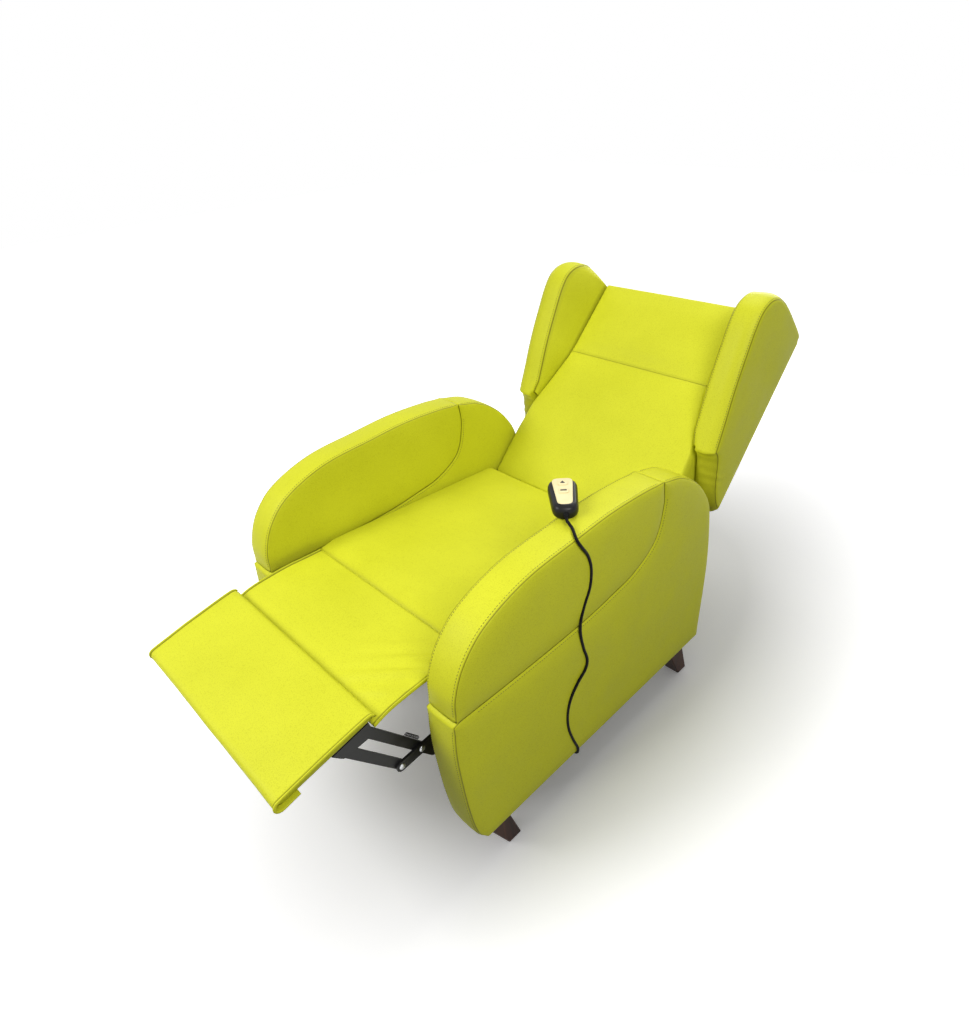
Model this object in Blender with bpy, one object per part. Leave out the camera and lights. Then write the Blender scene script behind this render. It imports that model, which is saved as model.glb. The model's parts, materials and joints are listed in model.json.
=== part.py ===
"""Power recliner with sound transducers in its seat and back.

Units are metres. +X is the sitter's left, -Y the front, +Z up. The chair stands reclined with its legrest
out. Side outlines are lists of (y, z) points. Everything hangs on one empty, which centres the chair.
"""
import math

import bmesh
import bpy
from mathutils import Matrix, Vector

# General
WIDTH = 0.700
GAP = 0.0003            # between pieces that touch
RUN_GAP = 0.0005        # between plates that turn side by side
PIN_SIDES = 12

# Arms: side lines as (y, z), each from its upper or front end
ARM_THICKNESS = 0.076
ARM_CORE = 0.018        # plywood inside the arm
ARM_FOAM = 0.030        # from the arm's edge to the plywood
ARM_ROLL = 0.009        # rounding along the arm's edges
ARM_CROWN = 0.004
SEAM_GAP = 0.0012       # between the arm pad and the lower cover
ARM_TOP_LINE = [(-0.3735, 0.4565), (-0.370, 0.508), (-0.344, 0.568), (-0.292, 0.617), (-0.189, 0.653),
                (-0.060, 0.663), (0.044, 0.668), (0.155, 0.662), (0.214, 0.6532)]
ARM_LEAF_LINE = [(0.214, 0.6532), (0.2185, 0.597), (0.193, 0.520), (0.123, 0.4785), (0.051, 0.466),
                 (-0.038, 0.4565), (-0.200, 0.4540), (-0.3735, 0.4565)]
ARM_REAR_LINE = [(0.2155, 0.6528), (0.282, 0.634), (0.351, 0.589), (0.400, 0.531), (0.420, 0.485),
                 (0.437, 0.327), (0.428, 0.130)]
ARM_FRONT_LINE = [(-0.379, 0.4505), (-0.383, 0.385), (-0.381, 0.317), (-0.372, 0.203), (-0.358, 0.124)]
ARM_BOTTOM_REAR_Y = 0.426
ARM_BOTTOM_FRONT_Y = -0.337
PAD_CENTRE = (-0.080, 0.565)
COVER_CENTRE = (0.260, 0.330)

# Feet: raked, tapered blocks
FOOT_HEIGHT = 0.089
FOOT_TOP = (0.050, 0.052)        # along x and y
FOOT_BOTTOM = (0.041, 0.035)
FOOT_RAKE = 0.035
FOOT_INSET = 0.004               # from the arm's outer face
FOOT_TOP_YS = {"front": -0.2975, "rear": 0.337}

# Seat: built along its own slope, from the seat's front edge on top
SEAT_FRONT = (-0.2572, 0.4712)
SEAT_SLOPE = 3.7                 # degrees, down towards the back
SEAT_REAR_GAP = 0.0093           # from the cushion to the crease at the back
SEAT_CUSHION = 0.105
SEAT_SIDE_GAP = 0.004
SEAT_FRONT_DRAW = 0.014          # how far the front corners draw in
SEAT_BOARD = 0.015
RAIL_THICKNESS = 0.036
RAIL_HEIGHT = 0.080
RAIL_FRONT = 0.028
RAIL_REAR = 0.032                # behind the back's hinge posts
TRANSDUCER_RADIUS = 0.045
TRANSDUCER_HEIGHT = 0.026
SEAT_TRANSDUCER = (0.0877, 0.170)        # from the rail, and along the seat
BOX_SIZE = (0.115, 0.130, 0.040)         # amplifier and power unit
BOX_PLACE = (0.0177, 0.365)              # from the rail, and along the seat
INLET_SIZE = (0.028, 0.010, 0.022)
GLAND_RADIUS = 0.008
GLAND_LENGTH = 0.024
GLAND_PLACE = (0.030, 0.025)             # from the box's outer side and front
REAR_TUBE = (0.275, 0.248)
REAR_TUBE_RADIUS = 0.012

# Back: s runs up along the back, t out of its front, from the crease at the seat
BACK_FOOT = (0.3119, 0.4158)
BACK_ANGLE = 45.3                # degrees above level
BACK_SWING = 30.0                # degrees, reclined to upright
BACK_HINGE = (0.010, -0.030)     # s and t of the hinge
BACK_CUSHION = 0.100
BACK_BOARD = 0.012
LUMBAR_SIDE_GAP = 0.0095         # from the arm's inner face
LUMBAR_WIDE_TOP = 0.140          # s where it starts to narrow
WING_SIDE_GAP = 0.0015           # from the cushions to the wings
HEAD_SEAM = 0.398
HEAD_TOP = 0.614
HEAD_SEAM_GAP = 0.0012
BACK_REAR_TOP = (0.634, -0.136)
BACK_REAR_BOTTOM = (0.142, -0.154)
REAR_COVER = 0.006
COVER_BOTTOM = 0.020
COVER_LOW_INSET = 0.008          # from the lumbar cushion's side
LOWER_RAIL = (0.020, 0.045)      # s of its lower and upper side
LOWER_RAIL_DEPTH = 0.025
BRACKET = 0.0035
HINGE_RADIUS = 0.006
HINGE_BOSS = 0.014
POST_BASE = (-0.018, 0.034)      # before and behind the hinge
BACK_TRANSDUCER_S = (0.150, 0.430)

# Wings: front line as (s, t). Places across are counted from the wing's outer face
WING_FRONT_LINE = [(0.238, 0.010), (0.300, 0.036), (0.380, 0.070), (0.460, 0.097), (0.520, 0.114),
                   (0.560, 0.116), (0.600, 0.096), (0.632, 0.055), (0.644, 0.015)]
WING_LOWER_LINE = [(0.142, -0.154), (0.152, -0.110), (0.180, -0.055), (0.238, 0.010)]
WING_INNER_BOTTOM = 0.246
WING_INSET = 0.035               # from the arm's outer face
WING_FOOT_LINE = [(0.140, 0.0480), (0.228, 0.0558), (0.292, 0.0736), (0.396, 0.0987), (0.640, 0.1063)]
WING_FOOT_T = -0.012             # t where the inner face meets the cushions
WING_EDGE = 0.058
WING_STEP = 0.0485
WING_ROLL = 0.008

# Legrest: its linkage turns the footrest about the seam at the seat's front edge
LEG_SEAM = (-0.262, 0.449)
LEG_SWING = 78.0                 # degrees, out to folded
LEG_SIDE_GAP = 0.025             # from the arm to the footrest's side
FLAP_THICKNESS = 0.006
FLAP_LINE = [LEG_SEAM, (-0.290, 0.462), (-0.325, 0.470), (-0.365, 0.473), (-0.415, 0.470), (-0.4578, 0.4675)]
FOOTREST_REAR = (-0.463, 0.486)
FOOTREST_FRONT = (-0.6500, 0.4465)
FOOTREST_THICKNESS = 0.0205
FOOTREST_ROLL = 0.008
FOOTREST_BOARD = 0.012
FOOTREST_BOARD_INSET = 0.006
LINK_LENGTH = 0.1634
LINK_ANGLE = 126.6
LINK_WIDTH = 0.020
LINK_PLATE = 0.005
LINK_PIN = 0.004                 # radius
FRONT_PIVOT = (-0.4243, 0.2917)
REAR_PIVOT = (-0.3760, 0.2965)
CONTROL_SHARE = 0.30             # the rear link's tail, as a share of the link
PLATE_MARGIN = 0.012
FLANGE = (0.036, 0.003)          # width and thickness of the footrest bracket's flange

# Drive: actuator on the middle line, crank arms on the drive shaft
SHAFT_RADIUS = 0.011
SHAFT_JOURNAL = 0.008
CRANK_RADIUS = 0.070
CRANK_MIDDLE = 264.0             # degrees, the crank arm half way
CRANK_X = 0.0095
CRANK_PLATE = 0.006
ACTUATOR_REAR_Y = 0.262
ROD_RADIUS = 0.009
TUBE_RADIUS = 0.0145
TUBE_SPAN = (0.090, 0.300)       # from the rear pin
ROD_START = 0.200
GEARBOX = (0.050, 0.072, 0.046)
MOTOR_RADIUS = 0.022
MOTOR_LENGTH = 0.095
EYE = (0.026, 0.012)             # width and thickness of the rod's eye
EYE_ROOM = 0.0017                # along the rod, for the crank pin's arc
BACK_LEVER = 0.110
LEVER_GAP = 0.0185               # from the amplifier to the back's lever
LEVER_PIN = 0.004
LEVER_ROOM = 0.0010              # along the back drive link, for the lever pin's arc

# Handset, lying across the sitter's left arm
HANDSET_PLACE = (0.262, 0.0075, 0.6675)
HANDSET_YAW = 45.3
HANDSET_TILT = 2.8
HANDSET_LENGTH = 0.104
HANDSET_WIDTHS = (0.047, 0.061)  # cord end and far end
HANDSET_HEIGHT = 0.027
FACEPLATE = 0.002
FACEPLATE_ENDS = (0.009, 0.005)  # from the cord end and the far end
FACEPLATE_SIDE = 0.010
BUTTON_SIZE = (0.020, 0.016)
BUTTON_PLACES = {"handset_button_up": 0.031, "handset_button_down": 0.004}
BUTTON_TRAVEL = 0.0012
BUTTON_PROUD = 0.0018
RELIEF_LENGTH = 0.010
RELIEF_RADII = (0.0055, 0.0040)
CORD_RADIUS = 0.003
CORD_STEP = 0.0145
CORD_POINTS = [(0.3275, -0.0455, 0.6695), (0.3430, -0.0575, 0.6690), (0.3525, -0.0622, 0.6630),
               (0.3562, -0.0565, 0.6500), (0.3565, -0.0370, 0.6180), (0.3560, -0.0265, 0.5810),
               (0.3560, -0.0300, 0.5400), (0.3560, -0.0450, 0.5080), (0.3560, -0.0570, 0.4740),
               (0.3560, -0.0580, 0.4400), (0.3565, -0.0490, 0.3950), (0.3575, -0.0390, 0.3580),
               (0.3580, -0.0450, 0.3370), (0.3580, -0.0680, 0.3180), (0.3575, -0.0900, 0.2900),
               (0.3565, -0.1005, 0.2510), (0.3560, -0.0985, 0.2050), (0.3560, -0.0830, 0.1510),
               (0.3560, -0.0690, 0.1130), (0.3530, -0.0660, 0.0930), (0.3420, -0.0640, 0.0815),
               (0.3200, -0.0580, 0.0760), (0.2900, -0.0440, 0.0720), (0.2600, -0.0210, 0.0710),
               (0.2330, 0.0120, 0.0780), (0.2120, 0.0480, 0.0980), (0.1980, 0.0820, 0.1340),
               (0.1920, 0.1080, 0.1820), (0.1900, 0.1230, 0.2260)]

# Values that follow from the ones above
ARM_OUT = WIDTH / 2
ARM_IN = ARM_OUT - ARM_THICKNESS
RAIL_OUT = ARM_IN - GAP
RAIL_IN = RAIL_OUT - RAIL_THICKNESS
PLATE_OUT = RAIL_IN - GAP
PLATE_IN = PLATE_OUT - LINK_PLATE
ARM_LAYER = (PLATE_IN - 2 * RUN_GAP - LINK_PLATE, PLATE_IN - 2 * RUN_GAP)
LINK_LAYER = (ARM_LAYER[0] - RUN_GAP - LINK_PLATE, ARM_LAYER[0] - RUN_GAP)
CONTROL_LAYER = (LINK_LAYER[0] - RUN_GAP - LINK_PLATE, LINK_LAYER[0] - RUN_GAP)
LEG_HALF = ARM_IN - LEG_SIDE_GAP
RAIL_TOP = -SEAT_CUSHION - SEAT_BOARD - 2 * GAP
SEAT_DEPTH = (BACK_FOOT[0] - SEAT_REAR_GAP - SEAT_FRONT[0]) / math.cos(math.radians(SEAT_SLOPE))
BOX_OUT = RAIL_IN - BOX_PLACE[0]
GLAND = (BOX_OUT - GLAND_PLACE[0], BOX_PLACE[1] + GLAND_PLACE[1])
LEVER_X = BOX_SIZE[0] - BOX_OUT + LEVER_GAP
LUMBAR_WIDE = ARM_IN - LUMBAR_SIDE_GAP
COVER_LOW_WIDTH = LUMBAR_WIDE - COVER_LOW_INSET
WING_OUTER = ARM_OUT - WING_INSET
FLAT = Matrix(((0, 1, 0, 0), (0, 0, 1, 0), (1, 0, 0, 0), (0, 0, 0, 1)))


def polar(centre, radius, degrees):
    """The (y, z) point at a radius and an angle, counted from +Y towards +Z."""
    turn = math.radians(degrees)
    return Vector((centre[0] + radius * math.cos(turn), centre[1] + radius * math.sin(turn)))


def arc(centre, radius, start, end, steps):
    return [polar(centre, radius, start + (end - start) * i / steps) for i in range(steps + 1)]


def circle(centre, radius, sides=PIN_SIDES):
    return arc(centre, radius, 0, 360, sides)[:-1]


def angle_of(vector):
    return math.degrees(math.atan2(vector[1], vector[0]))


def smooth(points, steps=2):
    """Points on a smooth curve through the given ones, with so many steps between each two."""
    points = [Vector(point) for point in points]
    times = [0.0]
    for here, after in zip(points, points[1:]):
        times.append(times[-1] + (after - here).length)
    slopes = []
    for i in range(len(points)):
        low, high = max(i - 1, 0), min(i + 1, len(points) - 1)
        slopes.append((points[high] - points[low]) / (times[high] - times[low]))
    result = [points[0]]
    for i in range(len(points) - 1):
        span = times[i + 1] - times[i]
        for step in range(1, steps + 1):
            f = step / steps
            ends = points[i] * (2 * f**3 - 3 * f**2 + 1) + points[i + 1] * (3 * f**2 - 2 * f**3)
            bends = slopes[i] * (f**3 - 2 * f**2 + f) + slopes[i + 1] * (f**3 - f**2)
            result.append(ends + bends * span)
    return result


def even(points, step):
    """Points at an even step along a line of points."""
    lengths = [0.0]
    for here, after in zip(points, points[1:]):
        lengths.append(lengths[-1] + (after - here).length)
    count = round(lengths[-1] / step)
    result = []
    i = 0
    for k in range(count + 1):
        target = lengths[-1] * k / count
        while i < len(points) - 2 and lengths[i + 1] < target:
            i += 1
        result.append(points[i].lerp(points[i + 1], (target - lengths[i]) / (lengths[i + 1] - lengths[i])))
    return result


def inset(outline, distance):
    """A closed outline moved inwards, square to its sides."""
    outline = [Vector(point) for point in outline]
    following = outline[1:] + outline[:1]
    area = sum(a.x * b.y - b.x * a.y for a, b in zip(outline, following))
    side = 1 if area > 0 else -1
    moved = []
    for before, here, after in zip(outline[-1:] + outline[:-1], outline, following):
        first = (here - before).normalized()
        second = (after - here).normalized()
        square = Vector((-first.y, first.x)) * side
        middle = (square + Vector((-second.y, second.x)) * side).normalized()
        moved.append(here + middle * distance / max(middle.dot(square), 0.4))
    return moved


def beside(line, distance):
    """An open line moved to its left."""
    moved = []
    for i, here in enumerate(line):
        along = (line[min(i + 1, len(line) - 1)] - line[max(i - 1, 0)]).normalized()
        moved.append(here + Vector((-along.y, along.x)) * distance)
    return moved


def shrunk(outline, centre, share):
    return [Vector(centre) + (Vector(point) - Vector(centre)) * share for point in outline]


def finish(name, colour, roughness, metallic=0.0):
    shader = bpy.data.materials.new(name)
    shader.use_nodes = True
    principled = shader.node_tree.nodes["Principled BSDF"]
    principled.inputs["Base Color"].default_value = (*colour, 1.0)
    principled.inputs["Roughness"].default_value = roughness
    principled.inputs["Metallic"].default_value = metallic
    return shader


def empty(name, parent=None, location=(0, 0, 0), rotation=(0, 0, 0), order="XYZ"):
    frame = bpy.data.objects.new(name, None)
    bpy.context.scene.collection.objects.link(frame)
    frame.parent = parent
    frame.location = location
    frame.rotation_mode = order
    frame.rotation_euler = [math.radians(turn) for turn in rotation]
    return frame


def pivot(name, point):
    """An empty on a joint's axis. Pieces under it keep the chair's own coordinates."""
    return empty(name, chair, (0, *point))


def solid(name, shape, material, parent, frame=None):
    """One named piece from a mesh under construction."""
    if frame:
        shape.transform(frame)
    bmesh.ops.recalc_face_normals(shape, faces=shape.faces[:])
    if shape.calc_volume(signed=True) < 0:
        bmesh.ops.reverse_faces(shape, faces=shape.faces[:])
    mesh = bpy.data.meshes.new(name)
    shape.to_mesh(mesh)
    shape.free()
    mesh.shade_smooth()
    mesh.set_sharp_from_angle(angle=math.radians(35))
    mesh.materials.append(material)
    piece = bpy.data.objects.new(name, mesh)
    bpy.context.scene.collection.objects.link(piece)
    piece.parent = parent
    if parent in pivots:
        piece.location = -parent.location
    return piece


def loft(name, rings, material, parent, tube=False, frame=None):
    """A solid through rings of points. It has flat caps, or as a tube its last ring joins its first."""
    shape = bmesh.new()
    layers = [[shape.verts.new(point) for point in ring] for ring in rings]
    for low, high in zip(layers, layers[1:] + (layers[:1] if tube else [])):
        for i, corner in enumerate(low):
            j = (i + 1) % len(low)
            shape.faces.new((corner, low[j], high[j], high[i]))
    if not tube:
        shape.faces.new(layers[0])
        shape.faces.new(layers[-1])
    return solid(name, shape, material, parent, frame)


def slab(name, outline, low, high, material, parent, holes=(), pegs=(), frame=None):
    """A flat plate with a (y, z) outline between two x values. Pegs are (ring, x of its end)."""
    shape = bmesh.new()
    edges = []

    def ring_of(points):
        corners = [shape.verts.new((low, *point)) for point in points]
        edges.extend(shape.edges.new(pair) for pair in zip(corners, corners[1:] + corners[:1]))
        return corners

    ring_of(outline)
    for hole in holes:
        ring_of(hole)
    rings = [ring_of(ring) for ring, _ in pegs]
    filled = bmesh.ops.triangle_fill(shape, use_beauty=True, edges=edges)["geom"]
    discs = [shape.faces.new(ring) for ring in rings]
    faces = [item for item in filled if isinstance(item, bmesh.types.BMFace)]
    grown = bmesh.ops.extrude_face_region(shape, geom=faces + discs, use_keep_orig=True)["geom"]
    far = [item for item in grown if isinstance(item, bmesh.types.BMVert)]
    bmesh.ops.translate(shape, verts=far, vec=(high - low, 0, 0))
    far_discs = [item for item in grown if isinstance(item, bmesh.types.BMFace) and len(item.verts) > 3]
    for (ring, end), near_disc in zip(pegs, discs):
        from_far = abs(end - high) < abs(end - low)
        middle = sum((Vector(point) for point in ring), Vector((0, 0))) / len(ring)
        if from_far:
            start = min(far_discs, key=lambda disc: (disc.calc_center_median().yz - middle).length)
        else:
            start = near_disc
        raised = bmesh.ops.extrude_discrete_faces(shape, faces=[start])["faces"]
        bmesh.ops.translate(shape, verts=raised[0].verts[:], vec=(end - (high if from_far else low), 0, 0))
    return solid(name, shape, material, parent, frame)


def block(name, low, high, material, parent, bevel=0.0):
    ring = [(low[0], low[1]), (high[0], low[1]), (high[0], high[1]), (low[0], high[1])]
    piece = loft(name, [[(x, y, z) for x, y in ring] for z in (low[2], high[2])], material, parent)
    if bevel:
        edge = piece.modifiers.new("edge", "BEVEL")
        edge.width = bevel
        edge.segments = 1
    return piece


def turned(name, profile, centre, material, parent, sides=16, tube=False, frame=None):
    """A round piece along x, from (x, radius) pairs, about a (y, z) centre."""
    rings = [[(x, *point) for point in circle(centre, radius, sides)] for x, radius in profile]
    return loft(name, rings, material, parent, tube, frame)


def cut(piece, cutter, operation="DIFFERENCE"):
    cutter.hide_render = True
    cutter.display_type = "WIRE"
    change = piece.modifiers.new(operation.lower(), "BOOLEAN")
    change.operation = operation
    change.solver = "EXACT"
    change.object = cutter


def link_outline(ends, width):
    """A straight bar with round ends through its two end pivots."""
    first, last = Vector(ends[0]), Vector(ends[-1])
    along = angle_of(last - first)
    return arc(last, width / 2, along - 90, along + 90, 5) + arc(first, width / 2, along + 90, along + 270, 5)


def bar(name, ends, layer, side, material, parent, holes=(), pegs=(), width=LINK_WIDTH):
    """A flat link on one side of the chair. Pegs are (point, radius, x of the end)."""
    low, high = (side * x for x in layer)
    rings = [circle(point, radius) for point, radius in holes]
    studs = [(circle(point, radius), side * end) for point, radius, end in pegs]
    return slab(name, link_outline(ends, width), low, high, material, parent, rings, studs)


def rounded(corners, radius, corner_steps=3, side_steps=4, draw=0.0):
    """A closed outline with rounded corners whose long sides draw in between them."""
    corners = [Vector(corner) for corner in corners]
    middle = sum(corners, Vector((0, 0))) / len(corners)
    starts, ends = [], []
    for before, here, after in zip(corners[-1:] + corners[:-1], corners, corners[1:] + corners[:1]):
        starts.append(here + (before - here).normalized() * radius)
        ends.append(here + (after - here).normalized() * radius)
    outline = []
    for i, here in enumerate(corners):
        for k in range(corner_steps + 1):
            f = k / corner_steps
            outline.append(starts[i] * (1 - f) ** 2 + here * 2 * f * (1 - f) + ends[i] * f**2)
        after = starts[(i + 1) % len(corners)]
        inward = Vector((ends[i].y - after.y, after.x - ends[i].x)).normalized()
        inward *= 1 if inward.dot(middle - ends[i]) > 0 else -1
        for k in range(1, side_steps):
            f = k / side_steps
            outline.append(ends[i].lerp(after, f) + inward * draw * math.sin(math.pi * f))
    return outline


def pillow(name, outline, levels, material, parent, place):
    """A cushion over an outline. Levels are (inset across, inset along, height)."""
    low = Vector((min(p.x for p in outline), min(p.y for p in outline)))
    high = Vector((max(p.x for p in outline), max(p.y for p in outline)))
    middle, half = (low + high) / 2, (high - low) / 2
    rings = []
    for across, along, height in levels:
        share = Vector((1 - across / half.x, 1 - along / half.y))
        rings.append([place(*(middle + (point - middle) * share), height) for point in outline])
    return loft(name, rings, material, parent)


def arm_line():
    """The whole arm's outline, with its square lower corners."""
    bottom = [Vector((ARM_BOTTOM_REAR_Y, FOOT_HEIGHT)), Vector((ARM_BOTTOM_FRONT_Y, FOOT_HEIGHT))]
    return smooth(ARM_TOP_LINE) + smooth(ARM_REAR_LINE) + bottom + smooth(ARM_FRONT_LINE)[::-1]


def core_line(foam, bottom):
    """The plywood's outline, a foam's depth inside the arm but down to a given height."""
    line = inset(arm_line()[::2], foam)
    return [Vector((p.x, bottom if p.y < FOOT_HEIGHT + 1.5 * foam else p.y)) for p in line]


def padded(name, outline, centre, side, material, parent):
    """An arm's padded piece: rolled edges and a crown on both faces."""
    stations = []
    for face, inward in ((ARM_IN, 1), (ARM_OUT, -1)):
        rim = face + inward * ARM_CROWN
        rows = [(face, shrunk(outline, centre, 0.78)), (rim, inset(outline, ARM_ROLL))]
        rows.append((rim + inward * 0.3 * ARM_ROLL, inset(outline, 0.3 * ARM_ROLL)))
        rows.append((rim + inward * ARM_ROLL, outline))
        stations += rows if inward > 0 else rows[::-1]
    return loft(name, [[(side * x, *point) for point in ring] for x, ring in stations], material, parent)


def arms():
    middle = (ARM_IN + ARM_OUT) / 2
    leaf = smooth(ARM_LEAF_LINE)
    pad_line = smooth(ARM_TOP_LINE) + leaf[1:-1]
    bottom = [Vector((ARM_BOTTOM_REAR_Y, FOOT_HEIGHT)), Vector((ARM_BOTTOM_FRONT_Y, FOOT_HEIGHT))]
    cover_line = smooth(ARM_REAR_LINE)[1:] + bottom + smooth(ARM_FRONT_LINE)[::-1]
    cover_line += beside(leaf, SEAM_GAP)[::-1]
    for side_name, side in SIDES:
        reach = ARM_CORE / 2
        slab(f"arm_frame_{side_name}", core_line(ARM_FOAM, FOOT_HEIGHT), side * (middle - reach),
             side * (middle + reach), PLYWOOD, chair)
        room = slab(f"arm_room_{side_name}", core_line(ARM_FOAM - GAP, FOOT_HEIGHT - ARM_FOAM),
                    side * (middle - reach - GAP), side * (middle + reach + GAP), PLYWOOD, chair)
        cut(padded(f"arm_pad_{side_name}", pad_line, PAD_CENTRE, side, LEATHER, chair), room)
        cut(padded(f"arm_lower_cover_{side_name}", cover_line, COVER_CENTRE, side, LEATHER, chair), room)


def feet():
    for side_name, side in SIDES:
        for end, top_y in FOOT_TOP_YS.items():
            rings = []
            for z, size, y in ((0.0, FOOT_BOTTOM, top_y + FOOT_RAKE), (FOOT_HEIGHT - GAP, FOOT_TOP, top_y)):
                outer = side * (ARM_OUT - FOOT_INSET)
                inner = side * (ARM_OUT - FOOT_INSET - size[0])
                low, high = y - size[1] / 2, y + size[1] / 2
                rings.append([(outer, low, z), (outer, high, z), (inner, high, z), (inner, low, z)])
            foot = loft(f"foot_{end}_{side_name}", rings, DARK_WOOD, chair)
            edge = foot.modifiers.new("edge", "BEVEL")
            edge.width = 0.002
            edge.segments = 1


def seat():
    half = ARM_IN - SEAT_SIDE_GAP
    front = half - SEAT_FRONT_DRAW
    shoulder = 3 * SEAT_FRONT_DRAW
    outline = rounded([(-front, 0), (front, 0), (half, shoulder), (half, SEAT_DEPTH), (-half, SEAT_DEPTH),
                       (-half, shoulder)], 0.016, 2, 4, 0.002)
    base = -SEAT_CUSHION
    levels = [(0.003, 0.006, base), (0.0, 0.0, base + 0.020), (0.0, 0.0, -0.024), (0.001, 0.004, -0.011),
              (0.005, 0.012, -0.003), (0.013, 0.026, 0.0), (0.060, 0.080, 0.003), (0.140, 0.170, 0.004)]
    pillow("seat_cushion", outline, levels, LEATHER, seat_plane, lambda x, s, n: (x, s, n))
    top = -SEAT_CUSHION - GAP
    block("seat_board", (-RAIL_OUT, 0.012, top - SEAT_BOARD), (RAIL_OUT, SEAT_DEPTH - 0.012, top),
          PLYWOOD, seat_plane)
    for side_name, side in SIDES:
        ends = sorted((side * RAIL_IN, side * RAIL_OUT))
        block(f"base_rail_{side_name}", (ends[0], RAIL_FRONT, RAIL_TOP - RAIL_HEIGHT),
              (ends[1], to_seat(post_foot()[1]).x + RAIL_REAR, RAIL_TOP), PLYWOOD, seat_plane)
        under = [(RAIL_TOP, TRANSDUCER_RADIUS), (RAIL_TOP - 0.6 * TRANSDUCER_HEIGHT, TRANSDUCER_RADIUS),
                 (RAIL_TOP - TRANSDUCER_HEIGHT, 0.6 * TRANSDUCER_RADIUS)]
        middle = (side * (RAIL_IN - SEAT_TRANSDUCER[0]), SEAT_TRANSDUCER[1])
        turned(f"seat_transducer_{side_name}", under, middle, BLACK_STEEL, seat_plane, frame=FLAT)
        ends = sorted((side * (BOX_OUT - BOX_SIZE[0]), side * BOX_OUT))
        block("power_unit" if side > 0 else "amplifier", (ends[0], BOX_PLACE[1], RAIL_TOP - BOX_SIZE[2]),
              (ends[1], BOX_PLACE[1] + BOX_SIZE[1], RAIL_TOP), BLACK_PLASTIC, seat_plane, 0.003)
    rear = BOX_PLACE[1] + BOX_SIZE[1] + GAP
    inner = BOX_OUT - BOX_SIZE[0] / 2 - INLET_SIZE[0] / 2
    floor = RAIL_TOP - BOX_SIZE[2] / 2 - INLET_SIZE[2] / 2
    corner = (inner, rear, floor)
    opposite = [low + size for low, size in zip(corner, INLET_SIZE)]
    block("mains_inlet", corner, opposite, BLACK_PLASTIC, seat_plane, 0.001)
    start = RAIL_TOP - BOX_SIZE[2] - GAP
    gland = [(start, 1.4 * GLAND_RADIUS), (start - 0.3 * GLAND_LENGTH, 1.4 * GLAND_RADIUS),
             (start - 0.35 * GLAND_LENGTH, GLAND_RADIUS), (start - GLAND_LENGTH, 0.7 * GLAND_RADIUS)]
    turned("cord_gland", gland, GLAND, BLACK_PLASTIC, seat_plane, 12, frame=FLAT)


def to_seat(point):
    """A chair (y, z) point in the seat's own frame."""
    place = seat_plane.matrix_basis.inverted() @ Vector((0, *point))
    return Vector((place.y, place.z))


def rear_t(s):
    """t of the back's rear face."""
    share = (s - BACK_REAR_BOTTOM[0]) / (BACK_REAR_TOP[0] - BACK_REAR_BOTTOM[0])
    return BACK_REAR_BOTTOM[1] + share * (BACK_REAR_TOP[1] - BACK_REAR_BOTTOM[1])


def back_cushions():
    def place(x, s, height):
        return (x, BACK_CUSHION - height, s)

    depth = BACK_CUSHION
    side = [(LUMBAR_WIDE, 0), (LUMBAR_WIDE, LUMBAR_WIDE_TOP)]
    side += [(wing_foot(s) - WING_SIDE_GAP, s) for s, _ in WING_FOOT_LINE[1:-2]]
    side += [(wing_foot(HEAD_SEAM) - WING_SIDE_GAP, HEAD_SEAM)]
    low = rounded(side + [(-x, s) for x, s in side[::-1]], 0.010, 2, 3, 0.0)
    levels = [(0.003, 0.002, 0.0), (0.0, 0.0, 0.016), (0.0, 0.0, depth - 0.022),
              (0.002, 0.006, depth - 0.009), (0.010, 0.018, depth - 0.002), (0.030, 0.040, depth),
              (0.080, 0.090, depth + 0.004)]
    pillow("lumbar_cushion", low, levels, LEATHER, back_plane, place)
    head_foot = HEAD_SEAM + HEAD_SEAM_GAP
    side = [(wing_foot(s) - WING_SIDE_GAP, s) for s in (head_foot, HEAD_TOP)]
    head = rounded(side + [(-x, s) for x, s in side[::-1]], 0.012, 3, 4)
    levels = [(0.003, 0.002, 0.0), (0.0, 0.0, 0.016), (0.0, 0.0, depth - 0.030),
              (0.002, 0.004, depth - 0.012), (0.010, 0.016, depth), (0.030, 0.034, depth + 0.006),
              (0.070, 0.060, depth + 0.010)]
    pillow("head_cushion", head, levels, LEATHER, back_plane, place)


def wings():
    front = smooth(WING_FRONT_LINE)
    lower = smooth(WING_LOWER_LINE)
    rear = [Vector(BACK_REAR_TOP).lerp(Vector(BACK_REAR_BOTTOM), f) for f in (0.0, 0.33, 0.67)]
    outer = front + rear + lower[:-1]
    inner = [Vector((max(p.x, WING_INNER_BOTTOM), p.y)) for p in outer]
    inner = [Vector((p.x, max(p.y, rear_t(p.x)))) for p in inner]
    edge = WING_OUTER - WING_EDGE
    step = WING_OUTER - WING_STEP
    foot = [(wing_foot(p.x), Vector((p.x, min(p.y, WING_FOOT_T)))) for p in inner]
    rim = [(max(edge, wing_foot(p.x) + 0.003), p) for p in inset(inner, 0.002)]
    stations = [(step, inner), (step + 0.0025, outer), (WING_OUTER - WING_ROLL, outer),
                (WING_OUTER - 0.3 * WING_ROLL, inset(outer, 0.3 * WING_ROLL)),
                (WING_OUTER, inset(outer, WING_ROLL))]
    rows = [foot, rim] + [[(x, p) for p in ring] for x, ring in stations]
    for side_name, side in SIDES:
        rings = [[(side * x, -p.y, p.x) for x, p in row] for row in rows]
        loft(f"wing_{side_name}", rings, LEATHER, back_plane)


def wing_foot(s):
    """x where the wing's inner face meets the cushions."""
    line = WING_FOOT_LINE
    for (low, first), (high, last) in zip(line, line[1:]):
        if s <= high:
            return WING_OUTER - first - (last - first) * max(s - low, 0) / (high - low)
    return WING_OUTER - line[-1][1]


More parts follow.
